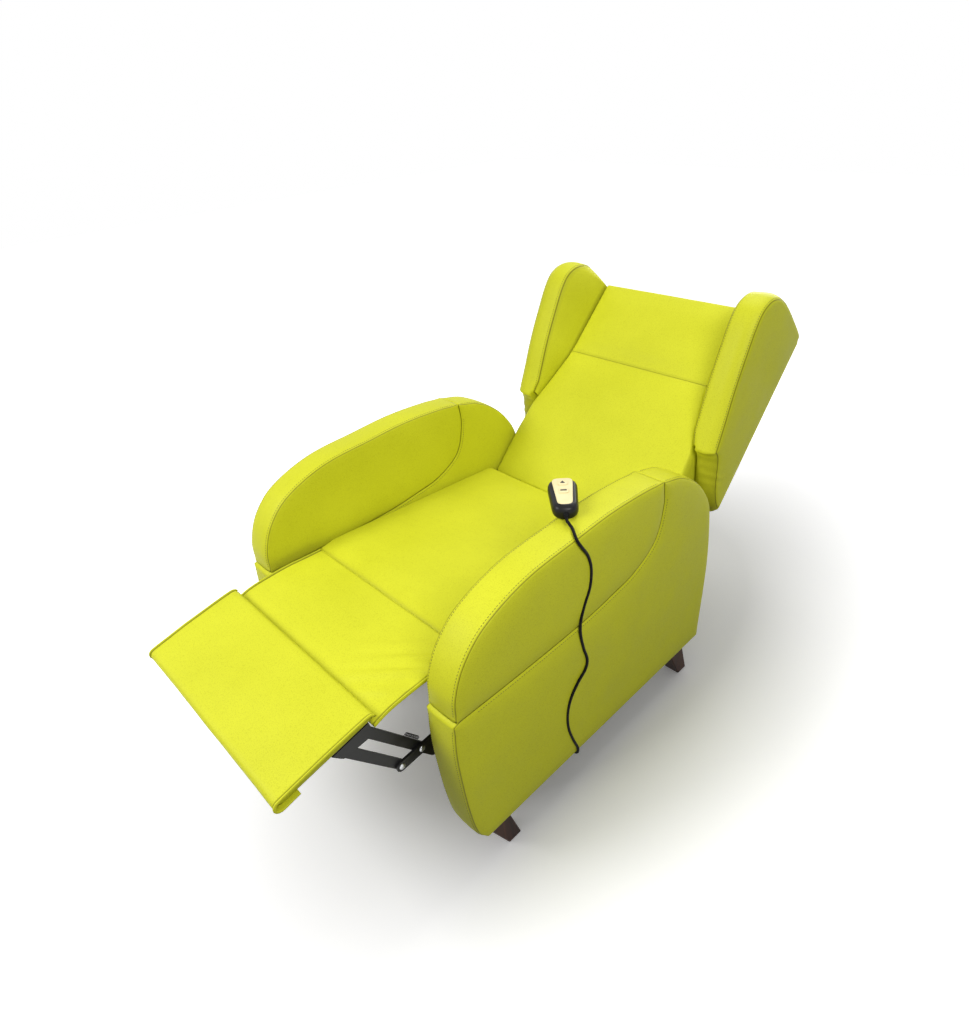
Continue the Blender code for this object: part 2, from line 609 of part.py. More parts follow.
def back_frame():
    board = -BACK_CUSHION - GAP
    rail = board - BACK_BOARD - GAP
    half = wing_foot(HEAD_TOP) - GAP
    block("back_board", (-half, -board, 0.010), (half, BACK_BOARD - board, HEAD_TOP - 0.010),
          PLYWOOD, back_plane)
    post_in = ARM_IN - 2 * RUN_GAP - BRACKET
    bracket_out = post_in - RUN_GAP
    bracket_in = bracket_out - BRACKET
    rail_half = bracket_in - GAP
    lower_rail = block("back_lower_rail", (-rail_half, -rail, LOWER_RAIL[0]),
                       (rail_half, LOWER_RAIL_DEPTH - rail, LOWER_RAIL[1]), BLACK_STEEL, back_plane)
    weld = back_point(sum(LOWER_RAIL) / 2, rail - 0.9 * LOWER_RAIL_DEPTH)
    pin = (circle(lever_rest(), LEVER_PIN), LEVER_X + 2 * LINK_PLATE + RUN_GAP)
    lever = slab("lever_shape", link_outline([lever_rest(), weld], 0.8 * LINK_WIDTH), LEVER_X,
                 LEVER_X + LINK_PLATE, BLACK_STEEL, back_hinge, pegs=[pin])
    cut(lower_rail, lever, "UNION")
    hinge = back_point(*BACK_HINGE)
    corners = [back_point(s, t) for s in LOWER_RAIL for t in (rail, rail - LOWER_RAIL_DEPTH)]
    plate = [corners[0], corners[1], corners[3], corners[2]]
    outline = hull(plate + circle(hinge, HINGE_BOSS))
    post = hull(post_foot() + circle(hinge, HINGE_BOSS))
    for side_name, side in SIDES:
        slab(f"back_bracket_{side_name}", outline, side * bracket_in, side * bracket_out, BLACK_STEEL,
             back_hinge, pegs=[(circle(hinge, HINGE_RADIUS), side * (post_in + BRACKET))])
        slab(f"back_hinge_post_{side_name}", post, side * post_in, side * (post_in + BRACKET), BLACK_STEEL,
             chair, holes=[circle(hinge, HINGE_RADIUS + GAP)])
    for place, s in zip(("lower", "upper"), BACK_TRANSDUCER_S):
        profile = [(-rail, TRANSDUCER_RADIUS), (-rail + 0.6 * TRANSDUCER_HEIGHT, TRANSDUCER_RADIUS),
                   (-rail + TRANSDUCER_HEIGHT, 0.6 * TRANSDUCER_RADIUS)]
        turned(f"back_transducer_{place}", profile, (s, 0), BLACK_STEEL, back_plane,
               frame=Matrix(((0, 0, 1, 0), (1, 0, 0, 0), (0, 1, 0, 0), (0, 0, 0, 1))))
    wide = WING_OUTER - 0.002
    top = BACK_REAR_TOP[0] - 0.003
    bottom = BACK_REAR_BOTTOM[0] + 0.010
    side = [(COVER_LOW_WIDTH, COVER_BOTTOM), (COVER_LOW_WIDTH, bottom - 0.02), (wide, bottom), (wide, top)]
    outline = rounded(side + [(-x, s) for x, s in side[::-1]], 0.008, 2, 3)
    levels = [(0.0, 0.0, 0.0), (0.0, 0.0, 0.5 * REAR_COVER), (0.004, 0.004, REAR_COVER),
              (0.06, 0.06, 1.5 * REAR_COVER)]
    pillow("rear_cover", outline, levels, LEATHER, back_plane, lambda x, s, h: (x, GAP + h - rear_t(s), s))


def hull(points):
    """The convex outline round a set of points."""
    points = sorted((Vector(point) for point in points), key=lambda p: (p.x, p.y))

    def half(run):
        chain = []
        for point in run:
            while len(chain) > 1 and (chain[-1] - chain[-2]).cross(point - chain[-2]) <= 1e-9:
                chain.pop()
            chain.append(point)
        return chain[:-1]

    return half(points) + half(points[::-1])


def back_point(s, t):
    """A chair (y, z) point from the back's own s and t."""
    along = polar((0, 0), 1, BACK_ANGLE)
    out = Vector((-along.y, along.x))
    return Vector(BACK_FOOT) + along * s + out * t


def post_foot():
    """The hinge post's two lower corners, on the side rail."""
    return [rail_top_point(back_point(*BACK_HINGE).x + shift) for shift in POST_BASE]


def rail_top_point(y):
    """A chair (y, z) point just above the side rail."""
    drop = math.tan(math.radians(SEAT_SLOPE))
    lift = (RAIL_TOP + GAP) / math.cos(math.radians(SEAT_SLOPE))
    return Vector((y, SEAT_FRONT[1] - (y - SEAT_FRONT[0]) * drop + lift))


def shaft_point():
    """The drive shaft's axis, which makes the linkage turn the footrest about the seam."""
    return Vector(LEG_SEAM) - link_vector()


def link_vector():
    return polar((0, 0), LINK_LENGTH, LINK_ANGLE)


def lever_crank():
    """Radius of the crank that drives the back: the link travels alike at both its ends."""
    return BACK_LEVER * math.sin(math.radians(BACK_SWING / 2)) / math.sin(math.radians(LEG_SWING / 2))


def drive_angle():
    """The back drive link's slope, square to both its levers half way."""
    reach = back_point(*BACK_HINGE) - shaft_point()
    drop = BACK_LEVER * math.cos(math.radians(BACK_SWING / 2))
    drop -= lever_crank() * math.cos(math.radians(LEG_SWING / 2))
    return angle_of(reach) - math.degrees(math.asin(drop / reach.length))


def lever_rest():
    return polar(back_point(*BACK_HINGE), BACK_LEVER, drive_angle() - 90 - BACK_SWING / 2)


def crank_rest():
    return polar(shaft_point(), lever_crank(), drive_angle() - 90 - LEG_SWING / 2)


def rod_eye(turn):
    return polar(shaft_point(), CRANK_RADIUS, CRANK_MIDDLE - LEG_SWING / 2 + turn)


def linkage():
    shaft = shaft_point()
    link = link_vector()
    tail = -link * CONTROL_SHARE
    front, rear = Vector(FRONT_PIVOT), Vector(REAR_PIVOT)
    fit = LINK_PIN + GAP
    control = shaft + tail
    corners = [to_seat(shaft), to_seat(control)]
    low = min(p.x for p in corners) - 2 * PLATE_MARGIN
    high = max(p.x for p in corners) + 8 * PLATE_MARGIN
    plate = [seat_point(s, n) for s, n in ((low, RAIL_TOP - GAP), (low, RAIL_TOP - RAIL_HEIGHT),
                                           (high, RAIL_TOP - RAIL_HEIGHT), (high, RAIL_TOP - GAP))]
    for side_name, side in SIDES:
        slab(f"mechanism_plate_{side_name}", plate, side * PLATE_IN, side * PLATE_OUT, BLACK_STEEL, chair,
             holes=[circle(shaft, SHAFT_JOURNAL + GAP, 16)],
             pegs=[(circle(control, LINK_PIN), side * CONTROL_LAYER[0])])
        bar(f"swing_arm_{side_name}", [front, shaft], ARM_LAYER, side, BLACK_STEEL, shaft_pivot,
            holes=[(shaft, SHAFT_JOURNAL + GAP)],
            pegs=[(front, LINK_PIN, LINK_LAYER[0]), (rear, LINK_PIN, LINK_LAYER[0])], width=1.2 * LINK_WIDTH)
        bar(f"front_link_{side_name}", [front, front + link], LINK_LAYER, side, BLACK_STEEL, front_pivot,
            holes=[(front, fit), (front + link, fit)])
        bar(f"rear_link_{side_name}", [rear + tail, rear + link], LINK_LAYER, side, BLACK_STEEL, rear_pivot,
            holes=[(rear, fit), (rear + link, fit)], pegs=[(rear + tail, LINK_PIN, CONTROL_LAYER[0])])
        bar(f"control_link_{side_name}", [control, rear + tail], CONTROL_LAYER, side, BLACK_STEEL,
            control_pivot, holes=[(control, fit), (rear + tail, fit)], width=0.9 * LINK_WIDTH)
        footrest_bracket(side_name, side, front + link, rear + link)


def seat_point(s, n):
    """A chair (y, z) point from a place along the seat and a height over it."""
    place = seat_plane.matrix_basis @ Vector((0, s, n))
    return Vector((place.y, place.z))


def footrest_frame():
    """Unit vectors along the footrest, from rear to front, and out of its top."""
    along = (Vector(FOOTREST_FRONT) - Vector(FOOTREST_REAR)).normalized()
    return along, Vector((along.y, -along.x))


def footrest_point(distance, depth):
    along, out = footrest_frame()
    return Vector(FOOTREST_REAR) + along * distance - out * depth


def footrest_bracket(side_name, side, front, rear):
    along, _ = footrest_frame()
    under = FOOTREST_THICKNESS + FOOTREST_BOARD + 2 * GAP
    start = (rear - Vector(FOOTREST_REAR)).dot(along)
    end = (front - Vector(FOOTREST_REAR)).dot(along)
    top = [footrest_point(max(start - LINK_WIDTH / 2, FOOTREST_BOARD_INSET), under),
           footrest_point(end + LINK_WIDTH, under)]
    reach = LINK_WIDTH / 2
    outline = hull(top + circle(front, reach) + circle(rear, reach))
    low, high = ARM_LAYER
    bracket = slab(f"footrest_bracket_{side_name}", outline, side * low, side * high, BLACK_STEEL, leg_hinge,
                   pegs=[(circle(point, LINK_PIN), side * LINK_LAYER[0]) for point in (front, rear)])
    flange = [top[0], top[1], footrest_point(end + LINK_WIDTH, under + FLANGE[1]),
              footrest_point(max(start - LINK_WIDTH / 2, FOOTREST_BOARD_INSET), under + FLANGE[1])]
    ends = (side * (low - FLANGE[0]), side * (low + 0.4 * LINK_PLATE))
    cut(bracket, slab(f"flange_{side_name}", flange, *ends, BLACK_STEEL, leg_hinge), "UNION")


def footrest():
    length = (Vector(FOOTREST_FRONT) - Vector(FOOTREST_REAR)).length
    radius = FOOTREST_THICKNESS / 2
    along, _ = footrest_frame()
    nose = arc(footrest_point(length, radius), radius, angle_of(along) + 90, angle_of(along) - 90, 6)
    crest = [footrest_point(length * f, -0.002 * math.sin(math.pi * f)) for f in (0.25, 0.5, 0.75)]
    line = [footrest_point(0.003, 0), *crest]
    turned_up = nose if (nose[0] - footrest_point(length, 0)).length < radius else nose[::-1]
    line += turned_up + [footrest_point(0.003, FOOTREST_THICKNESS)]
    line += [footrest_point(0, share * FOOTREST_THICKNESS) for share in (0.8, 0.2)]
    stations = []
    for side in (-1, 1):
        rows = [(side * LEG_HALF, inset(line, 0.6 * FOOTREST_ROLL)),
                (side * (LEG_HALF - 0.3 * FOOTREST_ROLL), inset(line, 0.2 * FOOTREST_ROLL)),
                (side * (LEG_HALF - FOOTREST_ROLL), line)]
        stations += rows[::-side]
    stations = sorted(stations, key=lambda row: row[0])
    loft("footrest_pad", [[(x, *point) for point in ring] for x, ring in stations], LEATHER, leg_hinge)
    top = FOOTREST_THICKNESS + GAP
    board = [footrest_point(FOOTREST_BOARD_INSET, top), footrest_point(length - 0.004, top),
             footrest_point(length - 0.004, top + FOOTREST_BOARD),
             footrest_point(FOOTREST_BOARD_INSET, top + FOOTREST_BOARD)]
    half = LEG_HALF - FOOTREST_BOARD_INSET
    slab("footrest_board", board, -half, half, PLYWOOD, leg_hinge)
    line = smooth(FLAP_LINE)
    upper = beside(line, -FLAP_THICKNESS / 2)
    lower = beside(line, FLAP_THICKNESS / 2)
    start = angle_of(line[1] - line[0])
    seam = arc(LEG_SEAM, FLAP_THICKNESS / 2, start + 90, start + 270, 4)[1:-1]
    if (seam[0] - upper[0]).length > (seam[0] - lower[0]).length:
        seam = seam[::-1]
    ring = upper[::-1] + seam + lower
    stations = [(-LEG_HALF, inset(ring, 0.001)), (0.004 - LEG_HALF, ring), (LEG_HALF - 0.004, ring),
                (LEG_HALF, inset(ring, 0.001))]
    loft("legrest_flap", [[(x, *point) for point in row] for x, row in stations], LEATHER, leg_hinge)


def drive():
    shaft = shaft_point()
    end = PLATE_OUT
    step = ARM_LAYER[0] - GAP
    profile = [(-end, SHAFT_JOURNAL), (-step, SHAFT_JOURNAL), (-step, SHAFT_RADIUS), (step, SHAFT_RADIUS),
               (step, SHAFT_JOURNAL), (end, SHAFT_JOURNAL)]
    turned_shaft = turned("drive_shaft", profile, shaft, BLACK_STEEL, shaft_pivot)
    rest = rod_eye(0)
    crank = slab("crank_shape", link_outline([shaft, rest], 1.2 * LINK_WIDTH), CRANK_X, CRANK_X + CRANK_PLATE,
                 BLACK_STEEL, shaft_pivot, pegs=[(circle(rest, LINK_PIN), -CRANK_X)])
    cut(turned_shaft, crank, "UNION")
    low = LEVER_X + 2 * (LINK_PLATE + RUN_GAP)
    arm = slab("back_crank_shape", link_outline([shaft, crank_rest()], LINK_WIDTH), low, low + LINK_PLATE,
               BLACK_STEEL, shaft_pivot,
               pegs=[(circle(crank_rest(), LEVER_PIN), LEVER_X + LINK_PLATE + RUN_GAP)])
    cut(turned_shaft, arm, "UNION")
    back_drive_link()
    actuator(rest, rod_eye(LEG_SWING))
    half = RAIL_IN - GAP
    profile = [(-half, REAR_TUBE_RADIUS), (half, REAR_TUBE_RADIUS)]
    tube = turned("rear_cross_tube", profile, REAR_TUBE, BLACK_STEEL, chair)
    rear = actuator_rear(rest, rod_eye(LEG_SWING))
    hanger = slab("hanger_shape", hull(circle(REAR_TUBE, 0.8 * REAR_TUBE_RADIUS) + circle(rear, 0.009)),
                  -0.014, -0.009, BLACK_STEEL, chair, pegs=[(circle(rear, LINK_PIN), 0.009)])
    cut(tube, hanger, "UNION")


def back_drive_link():
    """Drives the back from the shaft. Its rear hole is a slot, because the levers' arcs differ half way."""
    slack = lever_crank() * (1 - math.cos(math.radians(LEG_SWING / 2)))
    slack -= BACK_LEVER * (1 - math.cos(math.radians(BACK_SWING / 2)))
    lift = polar((0, 0), slack, drive_angle() + 90)
    front, rear = crank_rest(), lever_rest()
    fit = LEVER_PIN + GAP
    slot = link_outline([rear, rear + lift], 2 * (fit + LEVER_ROOM))
    ends = [circle(point, LINK_WIDTH / 2) for point in (front, rear, rear + lift)]
    outline = hull(ends[0] + ends[1] + ends[2])
    low = LEVER_X + LINK_PLATE + RUN_GAP
    slab("back_drive_link", outline, low, low + LINK_PLATE, BLACK_STEEL, crank_pivot,
         holes=[circle(front, fit), slot])


def actuator_rear(rest, folded):
    """The actuator's rear pin, in line with the rod eye's two end places."""
    along = (folded - rest).normalized()
    return rest + along * (ACTUATOR_REAR_Y - rest.x) / along.x


def actuator(rest, folded):
    along = (folded - rest).normalized()
    rear = actuator_rear(rest, folded)
    frame = empty("actuator_axis", chair, (0, *rear), (angle_of(-along), 0, 0))
    reach = (rest - rear).length
    sag = CRANK_RADIUS * (1 - math.cos(math.radians(LEG_SWING / 2)))
    x_half = GEARBOX[0] / 2
    ear = 0.011
    z_half = GEARBOX[2] / 2
    gearbox = block("actuator_motor", (-x_half, 0.018, -z_half), (x_half, 0.018 + GEARBOX[1], z_half),
                    BLACK_PLASTIC, frame, 0.004)
    eye = slab("gearbox_ear", link_outline([(0, 0), (0.03, 0)], 2 * ear), -0.008, 0.008, BLACK_PLASTIC, frame,
               holes=[circle((0, 0), LINK_PIN + GAP)])
    cut(gearbox, eye, "UNION")
    along_y = Matrix(((0, 1, 0, 0), (1, 0, 0, 0), (0, 0, -1, 0), (0, 0, 0, 1)))
    profile = [(0.020, 0.8 * MOTOR_RADIUS), (0.026, MOTOR_RADIUS), (0.018 + MOTOR_LENGTH, MOTOR_RADIUS),
               (0.024 + MOTOR_LENGTH, 0.7 * MOTOR_RADIUS)]
    centre_line = (x_half + 0.8 * MOTOR_RADIUS, 0)
    motor = turned("motor_shape", profile, centre_line, BLACK_PLASTIC, frame, frame=along_y)
    cut(gearbox, motor, "UNION")
    start, stop = TUBE_SPAN
    start = max(start, 0.018 + GEARBOX[1] + GAP)
    bore = ROD_RADIUS + GAP
    turned("actuator_tube", [(start, TUBE_RADIUS), (stop, TUBE_RADIUS), (stop, bore), (start, bore)], (0, 0),
           STEEL, frame, tube=True, frame=along_y)
    slide = empty("rod_axis", frame)
    profile = [(ROD_START, ROD_RADIUS), (reach - 0.35 * EYE[0], ROD_RADIUS)]
    rod = turned("actuator_rod", profile, (0, 0), STEEL, slide, frame=along_y)
    upright = Matrix.Rotation(frame.rotation_euler.x, 2) @ Vector((0, 1))
    side = 1 if upright.dot(shaft_point() - rest) < 0 else -1
    slot_end = Vector((reach, side * sag))
    fit = LINK_PIN + GAP
    eye = slab("rod_eye", link_outline([(reach, 0), slot_end], EYE[0]), -EYE[1] / 2, EYE[1] / 2, STEEL, slide,
               holes=[link_outline([(reach, 0), slot_end], 2 * (fit + EYE_ROOM))])
    cut(rod, eye, "UNION")


def handset():
    half = HANDSET_LENGTH / 2
    near, far = (width / 2 for width in HANDSET_WIDTHS)
    line = rounded([(-near, -half), (near, -half), (far, half), (-far, half)], 0.014, 3, 2)
    height = HANDSET_HEIGHT
    levels = [(0.006, 0.006, 0.0), (0.001, 0.001, 0.006), (0.0, 0.0, 0.5 * height),
              (0.001, 0.001, height - 0.004), (0.005, 0.005, height)]
    pillow("handset_shell", line, levels, BLACK_PLASTIC, handset_frame, lambda x, y, z: (x, y, z))
    ends = (FACEPLATE_ENDS[0] - half, half - FACEPLATE_ENDS[1])
    plate = rounded([(-near + FACEPLATE_SIDE, ends[0]), (near - FACEPLATE_SIDE, ends[0]),
                     (far - FACEPLATE_SIDE, ends[1]), (-far + FACEPLATE_SIDE, ends[1])], 0.012, 3, 2)
    openings = {}
    for name, y in BUTTON_PLACES.items():
        x_half, y_half = (size / 2 for size in BUTTON_SIZE)
        corners = [(-x_half, y - y_half), (x_half, y - y_half), (x_half, y + y_half), (-x_half, y + y_half)]
        openings[name] = rounded(corners, 0.004, 2, 1)
    low = height + GAP
    slab("handset_faceplate", plate, low, low + FACEPLATE, CREAM_PLASTIC, handset_frame,
         holes=list(openings.values()), frame=FLAT)
    for name, opening in openings.items():
        axis = empty(f"{name}_axis", handset_frame)
        slab(name, inset(opening, GAP), low + BUTTON_TRAVEL, low + FACEPLATE + BUTTON_PROUD, CREAM_PLASTIC,
             axis, frame=FLAT)
    start = -half - GAP
    profile = [(start, RELIEF_RADII[0]), (start - 0.4 * RELIEF_LENGTH, RELIEF_RADII[0]),
               (start - RELIEF_LENGTH, RELIEF_RADII[1])]
    turned("handset_strain_relief", profile, (0, 0.5 * height), BLACK_PLASTIC, handset_frame, 12,
           frame=Matrix(((0, 1, 0, 0), (1, 0, 0, 0), (0, 0, 1, 0), (0, 0, 0, 1))))


def cord():
    """The handset's cord, from the strain relief over the arm and under it to the gland."""
    gland_end = RAIL_TOP - BOX_SIZE[2] - GAP - GLAND_LENGTH - GAP
    gland = chair_place(seat_plane, (*GLAND, gland_end))
    below = chair_place(seat_plane, (*GLAND, gland_end - 4 * CORD_RADIUS))
    end = -HANDSET_LENGTH / 2 - GAP - RELIEF_LENGTH - GAP
    relief = chair_place(handset_frame, (0, end, HANDSET_HEIGHT / 2))
    beyond = chair_place(handset_frame, (0, end - 0.008, HANDSET_HEIGHT / 2))
    route = [beyond] + [Vector(point) for point in CORD_POINTS] + [below]
    points = [relief] + even(smooth(route, 6), CORD_STEP) + [gland]
    curve = bpy.data.curves.new("handset_cord", "CURVE")
    curve.dimensions = "3D"
    curve.bevel_depth = CORD_RADIUS
    curve.bevel_resolution = 2
    curve.use_fill_caps = True
    line = curve.splines.new("POLY")
    line.points.add(len(points) - 1)
    for knot, point in zip(line.points, points):
        knot.co = (*point, 1)
    curve.materials.append(BLACK_PLASTIC)
    piece = bpy.data.objects.new("handset_cord", curve)
    bpy.context.scene.collection.objects.link(piece)
    piece.parent = chair
    length = sum((b - a).length for a, b in zip(points, points[1:]))
    print("cord length", round(length, 4), len(points), "points")


def chair_place(frame, point):
    """A point of a frame under the chair, in the chair's coordinates."""
    return frame.matrix_basis @ Vector(point)


def centre():
    """Sets the chair's origin at the middle of its box, on the floor. The free cord doesn't count."""
    bpy.context.view_layer.update()
    graph = bpy.context.evaluated_depsgraph_get()
    corners = []
    for piece in bpy.data.objects:
        if piece.type == "MESH" and not piece.hide_render:
            shown = piece.evaluated_get(graph)
            corners += [shown.matrix_world @ vertex.co for vertex in shown.data.vertices]
    low = [min(corner[i] for corner in corners) for i in range(3)]
    high = [max(corner[i] for corner in corners) for i in range(3)]
    chair.location = (-(low[0] + high[0]) / 2, -(low[1] + high[1]) / 2, -low[2])
    bpy.context.view_layer.update()
    for frame in (*pivots, *handset_frame.children_recursive):
        if frame.type == "EMPTY":
            print(frame.name, [round(value, 5) for value in frame.matrix_world.translation])
    print("chair moved by", [round(value, 5) for value in chair.location])


for item in list(bpy.data.objects):
    bpy.data.objects.remove(item)

SIDES = (("left", 1), ("right", -1))
LEATHER = finish("lime leatherette", (0.76, 0.79, 0.06), 0.45)
DARK_WOOD = finish("dark wood", (0.045, 0.022, 0.012), 0.4)
PLYWOOD = finish("plywood", (0.55, 0.38, 0.20), 0.7)
BLACK_STEEL = finish("black steel", (0.02, 0.02, 0.022), 0.4, 0.6)
STEEL = finish("bright steel", (0.60, 0.61, 0.62), 0.3, 1.0)
BLACK_PLASTIC = finish("black plastic", (0.015, 0.015, 0.016), 0.45)
CREAM_PLASTIC = finish("cream plastic", (0.75, 0.68, 0.52), 0.4)

chair = empty("chair")
pivots = []
seat_plane = empty("seat_plane", chair, (0, *SEAT_FRONT), (-SEAT_SLOPE, 0, 0))
back_hinge = pivot("back_hinge", back_point(*BACK_HINGE))
back_plane = empty("back_plane", back_hinge, (0, *(Vector(BACK_FOOT) - back_point(*BACK_HINGE))),
                   (BACK_ANGLE - 90, 0, 0))
leg_hinge = pivot("leg_seam", LEG_SEAM)
shaft_pivot = pivot("shaft", shaft_point())
front_pivot = pivot("front_link_axis", FRONT_PIVOT)
rear_pivot = pivot("rear_link_axis", REAR_PIVOT)
control_pivot = pivot("control_link_axis", shaft_point() - link_vector() * CONTROL_SHARE)
crank_pivot = pivot("back_drive_axis", crank_rest())
pivots = [back_hinge, leg_hinge, shaft_pivot, front_pivot, rear_pivot, control_pivot, crank_pivot]
handset_frame = empty("handset_frame", chair, HANDSET_PLACE, (HANDSET_TILT, 0, HANDSET_YAW), "ZYX")
bpy.context.view_layer.update()

arms()
feet()
seat()
back_cushions()
wings()
back_frame()
linkage()
footrest()
drive()
handset()
cord()
centre()
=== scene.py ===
"""Looks of the recliner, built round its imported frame. Units are metres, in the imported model's frame.

Side outlines are (y, z) points as the part's source gives them; place() functions move them to the frame.
"""
import json
import math

import bmesh
import bpy
import numpy as np
from mathutils import Matrix, Vector, noise
from mathutils.bvhtree import BVHTree
from mathutils.geometry import delaunay_2d_cdt


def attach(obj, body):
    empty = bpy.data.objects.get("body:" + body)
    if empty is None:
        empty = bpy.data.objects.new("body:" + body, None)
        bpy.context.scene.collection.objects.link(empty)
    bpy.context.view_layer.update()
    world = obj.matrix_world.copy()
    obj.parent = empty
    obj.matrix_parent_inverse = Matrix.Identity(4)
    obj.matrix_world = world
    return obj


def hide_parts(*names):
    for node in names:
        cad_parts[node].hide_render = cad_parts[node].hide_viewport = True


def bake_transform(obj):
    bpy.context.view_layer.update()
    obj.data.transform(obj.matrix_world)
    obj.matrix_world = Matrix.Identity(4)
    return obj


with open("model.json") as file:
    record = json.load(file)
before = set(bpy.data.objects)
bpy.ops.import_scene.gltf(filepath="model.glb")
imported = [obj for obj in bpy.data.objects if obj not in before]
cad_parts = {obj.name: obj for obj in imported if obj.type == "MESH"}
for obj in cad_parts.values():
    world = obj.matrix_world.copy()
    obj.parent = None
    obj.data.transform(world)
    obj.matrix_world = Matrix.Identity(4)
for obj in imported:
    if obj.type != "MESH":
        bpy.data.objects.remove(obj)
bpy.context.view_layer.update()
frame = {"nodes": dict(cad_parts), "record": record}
NODES = frame["nodes"]
SIDES = (("left", 1), ("right", -1))
SHIFT = -0.09846                 # from the source's lengthwise places to the frame's

# Arms
ARM_IN, ARM_OUT = 0.274, 0.35
ARM_TOP_LINE = [(-0.3735, 0.4565), (-0.37, 0.508), (-0.344, 0.568), (-0.292, 0.617), (-0.189, 0.653),
                (-0.06, 0.663), (0.044, 0.668), (0.155, 0.662), (0.214, 0.6532)]
ARM_LEAF_LINE = [(0.214, 0.6532), (0.2185, 0.597), (0.193, 0.52), (0.123, 0.4785), (0.051, 0.466),
                 (-0.038, 0.4565), (-0.2, 0.454), (-0.3735, 0.4565)]
ARM_REAR_LINE = [(0.2155, 0.6528), (0.282, 0.634), (0.351, 0.589), (0.4, 0.531), (0.42, 0.485),
                 (0.437, 0.327), (0.428, 0.13), (0.426, 0.089)]
ARM_FRONT_LINE = [(-0.379, 0.4505), (-0.383, 0.385), (-0.381, 0.317), (-0.372, 0.203), (-0.358, 0.124),
                  (-0.337, 0.089)]
LEAF_GAP = 0.002
ARM_SEAM = 0.002                # from the arm's face to its edge seams
STITCH_SIDE = 0.0048             # from a seam to its stitches

# Seat
SEAT_BASE, SEAT_SHOULDER = -0.105, 0.042     # lower face, and where its sides reach their width
SEAT_FRONT = (-0.2572, 0.4712)
SEAT_SLOPE = -3.7
SEAT_DEPTH = 0.561
SEAT_HALF = 0.27
SEAT_FRONT_HALF = 0.257

# Back
BACK_FOOT = (0.3119, 0.4158)
BACK_ANGLE = 45.3
HEAD_SEAM = 0.398
HEAD_TOP = 0.614
REAR_TOP = (0.634, -0.136)
REAR_BOTTOM = (0.142, -0.154)
LUMBAR_WIDE = 0.2645
WING_FRONT_LINE = [(0.238, 0.01), (0.3, 0.036), (0.38, 0.07), (0.46, 0.097), (0.52, 0.114),
                   (0.56, 0.116), (0.598, 0.098), (0.624, 0.062), (0.6345, 0.02)]
WING_LOWER_LINE = [(0.142, -0.154), (0.151, -0.12), (0.174, -0.08), (0.208, -0.042), (0.229, -0.02),
                   (0.2375, -0.004), (0.238, 0.01)]
WING_TOP_LINE = [(0.6345, 0.02), (0.637, -0.02), (0.6365, -0.08), (0.6345, -0.12), (0.6285, -0.133),
                 (0.618, -0.1366)]
WING_OUTER = 0.315
WING_INNER_BOTTOM = 0.246
WING_FOOT_LINE = [(0.14, 0.048), (0.228, 0.0558), (0.292, 0.0736), (0.396, 0.0987), (0.64, 0.1063)]
WING_FOOT_T = -0.012
WING_FOOT_TOP = 0.607            # upper end of the inner panel by the head cushion
WING_STRIP_LOW, WING_STRIP_HIGH = 0.2575, 0.3098     # across: the front strip between its seams
WING_STRIP_ROWS = ((0.266, -0.0015, 0), (0.2745, -0.002, 0), (0.283, -0.0028, 0), (0.291, -0.0024, 0),
                   (0.2985, -0.0008, 0), (0.305, 0.0016, 0), (0.3098, 0.0042, 0), (0.3128, 0.0066, 0),
                   (0.314, 0.008, 0.3))            # across, inset, painted shade
WING_SEAM, WING_SEAM_INSET = WING_OUTER - 0.0004, 0.0092     # the outer seam: across, and inset from the outline
WING_SEAM_ROWS = ((0, 0, 1, 1), (0.0006, 0.0008, 0.45, 0.9), (0.002, 0.0016, 0, 0.9), (0.0045, 0.0023, 0, 0.9))

# Legrest
LEG_HALF = 0.249
FLAP_LINE = [(-0.2575, 0.4704), (-0.29, 0.4718), (-0.325, 0.4734), (-0.365, 0.4738), (-0.415, 0.4705),
             (-0.468, 0.4668)]
FOOTREST_REAR = (-0.463, 0.486)
FOOTREST_FRONT = (-0.65, 0.4465)
FOOTREST_THICKNESS = 0.0205
FRONT_PIVOT = (-0.4243, 0.2917)
REAR_PIVOT = (-0.376, 0.2965)
LINK_VECTOR = (-0.0974, 0.1312)
SWING_FACE = 0.2314              # outer face of the swing arms
SPRING_MIDDLE = 0.2219           # across, over the links' inner half
SPRING_SPAN = (0.016, 0.06)     # from the rear pivot, along the link
SPRING_RADIUS, SPRING_WIRE, SPRING_TURNS = 0.003, 0.0006, 13

# Handset and cord
HANDSET_PLACE = (0.262, 0.0075, 0.6675)
HANDSET_YAW, HANDSET_TILT = 45.3, 2.8
HANDSET_LENGTH = 0.104
HANDSET_WIDTHS = (0.047, 0.061)
HANDSET_HEIGHT = 0.027
CORD_RADIUS = 0.003
CORD_STEP = 0.007
RELIEF_LENGTH = 0.01
GAP = 0.0003
GLAND_PLACE = (0.19, 0.39, -0.1846)    # across, along and over the seat: the gland's lower end
CORD_POINTS = [(0.3275, -0.0455, 0.6695), (0.343, -0.0575, 0.669), (0.3525, -0.0622, 0.663),
               (0.3562, -0.0565, 0.65), (0.3565, -0.037, 0.618), (0.356, -0.0265, 0.581),
               (0.356, -0.03, 0.54), (0.356, -0.045, 0.508), (0.356, -0.057, 0.474),
               (0.356, -0.058, 0.44), (0.3565, -0.049, 0.395), (0.3575, -0.039, 0.358),
               (0.358, -0.045, 0.337), (0.358, -0.068, 0.318), (0.3575, -0.09, 0.29),
               (0.3565, -0.1005, 0.251), (0.356, -0.0985, 0.205), (0.356, -0.083, 0.151),
               (0.356, -0.069, 0.113), (0.353, -0.066, 0.093), (0.342, -0.064, 0.0815),
               (0.32, -0.058, 0.076), (0.29, -0.044, 0.072), (0.26, -0.021, 0.071),
               (0.233, 0.012, 0.078), (0.212, 0.048, 0.098), (0.198, 0.082, 0.134),
               (0.192, 0.108, 0.182), (0.19, 0.123, 0.226)]


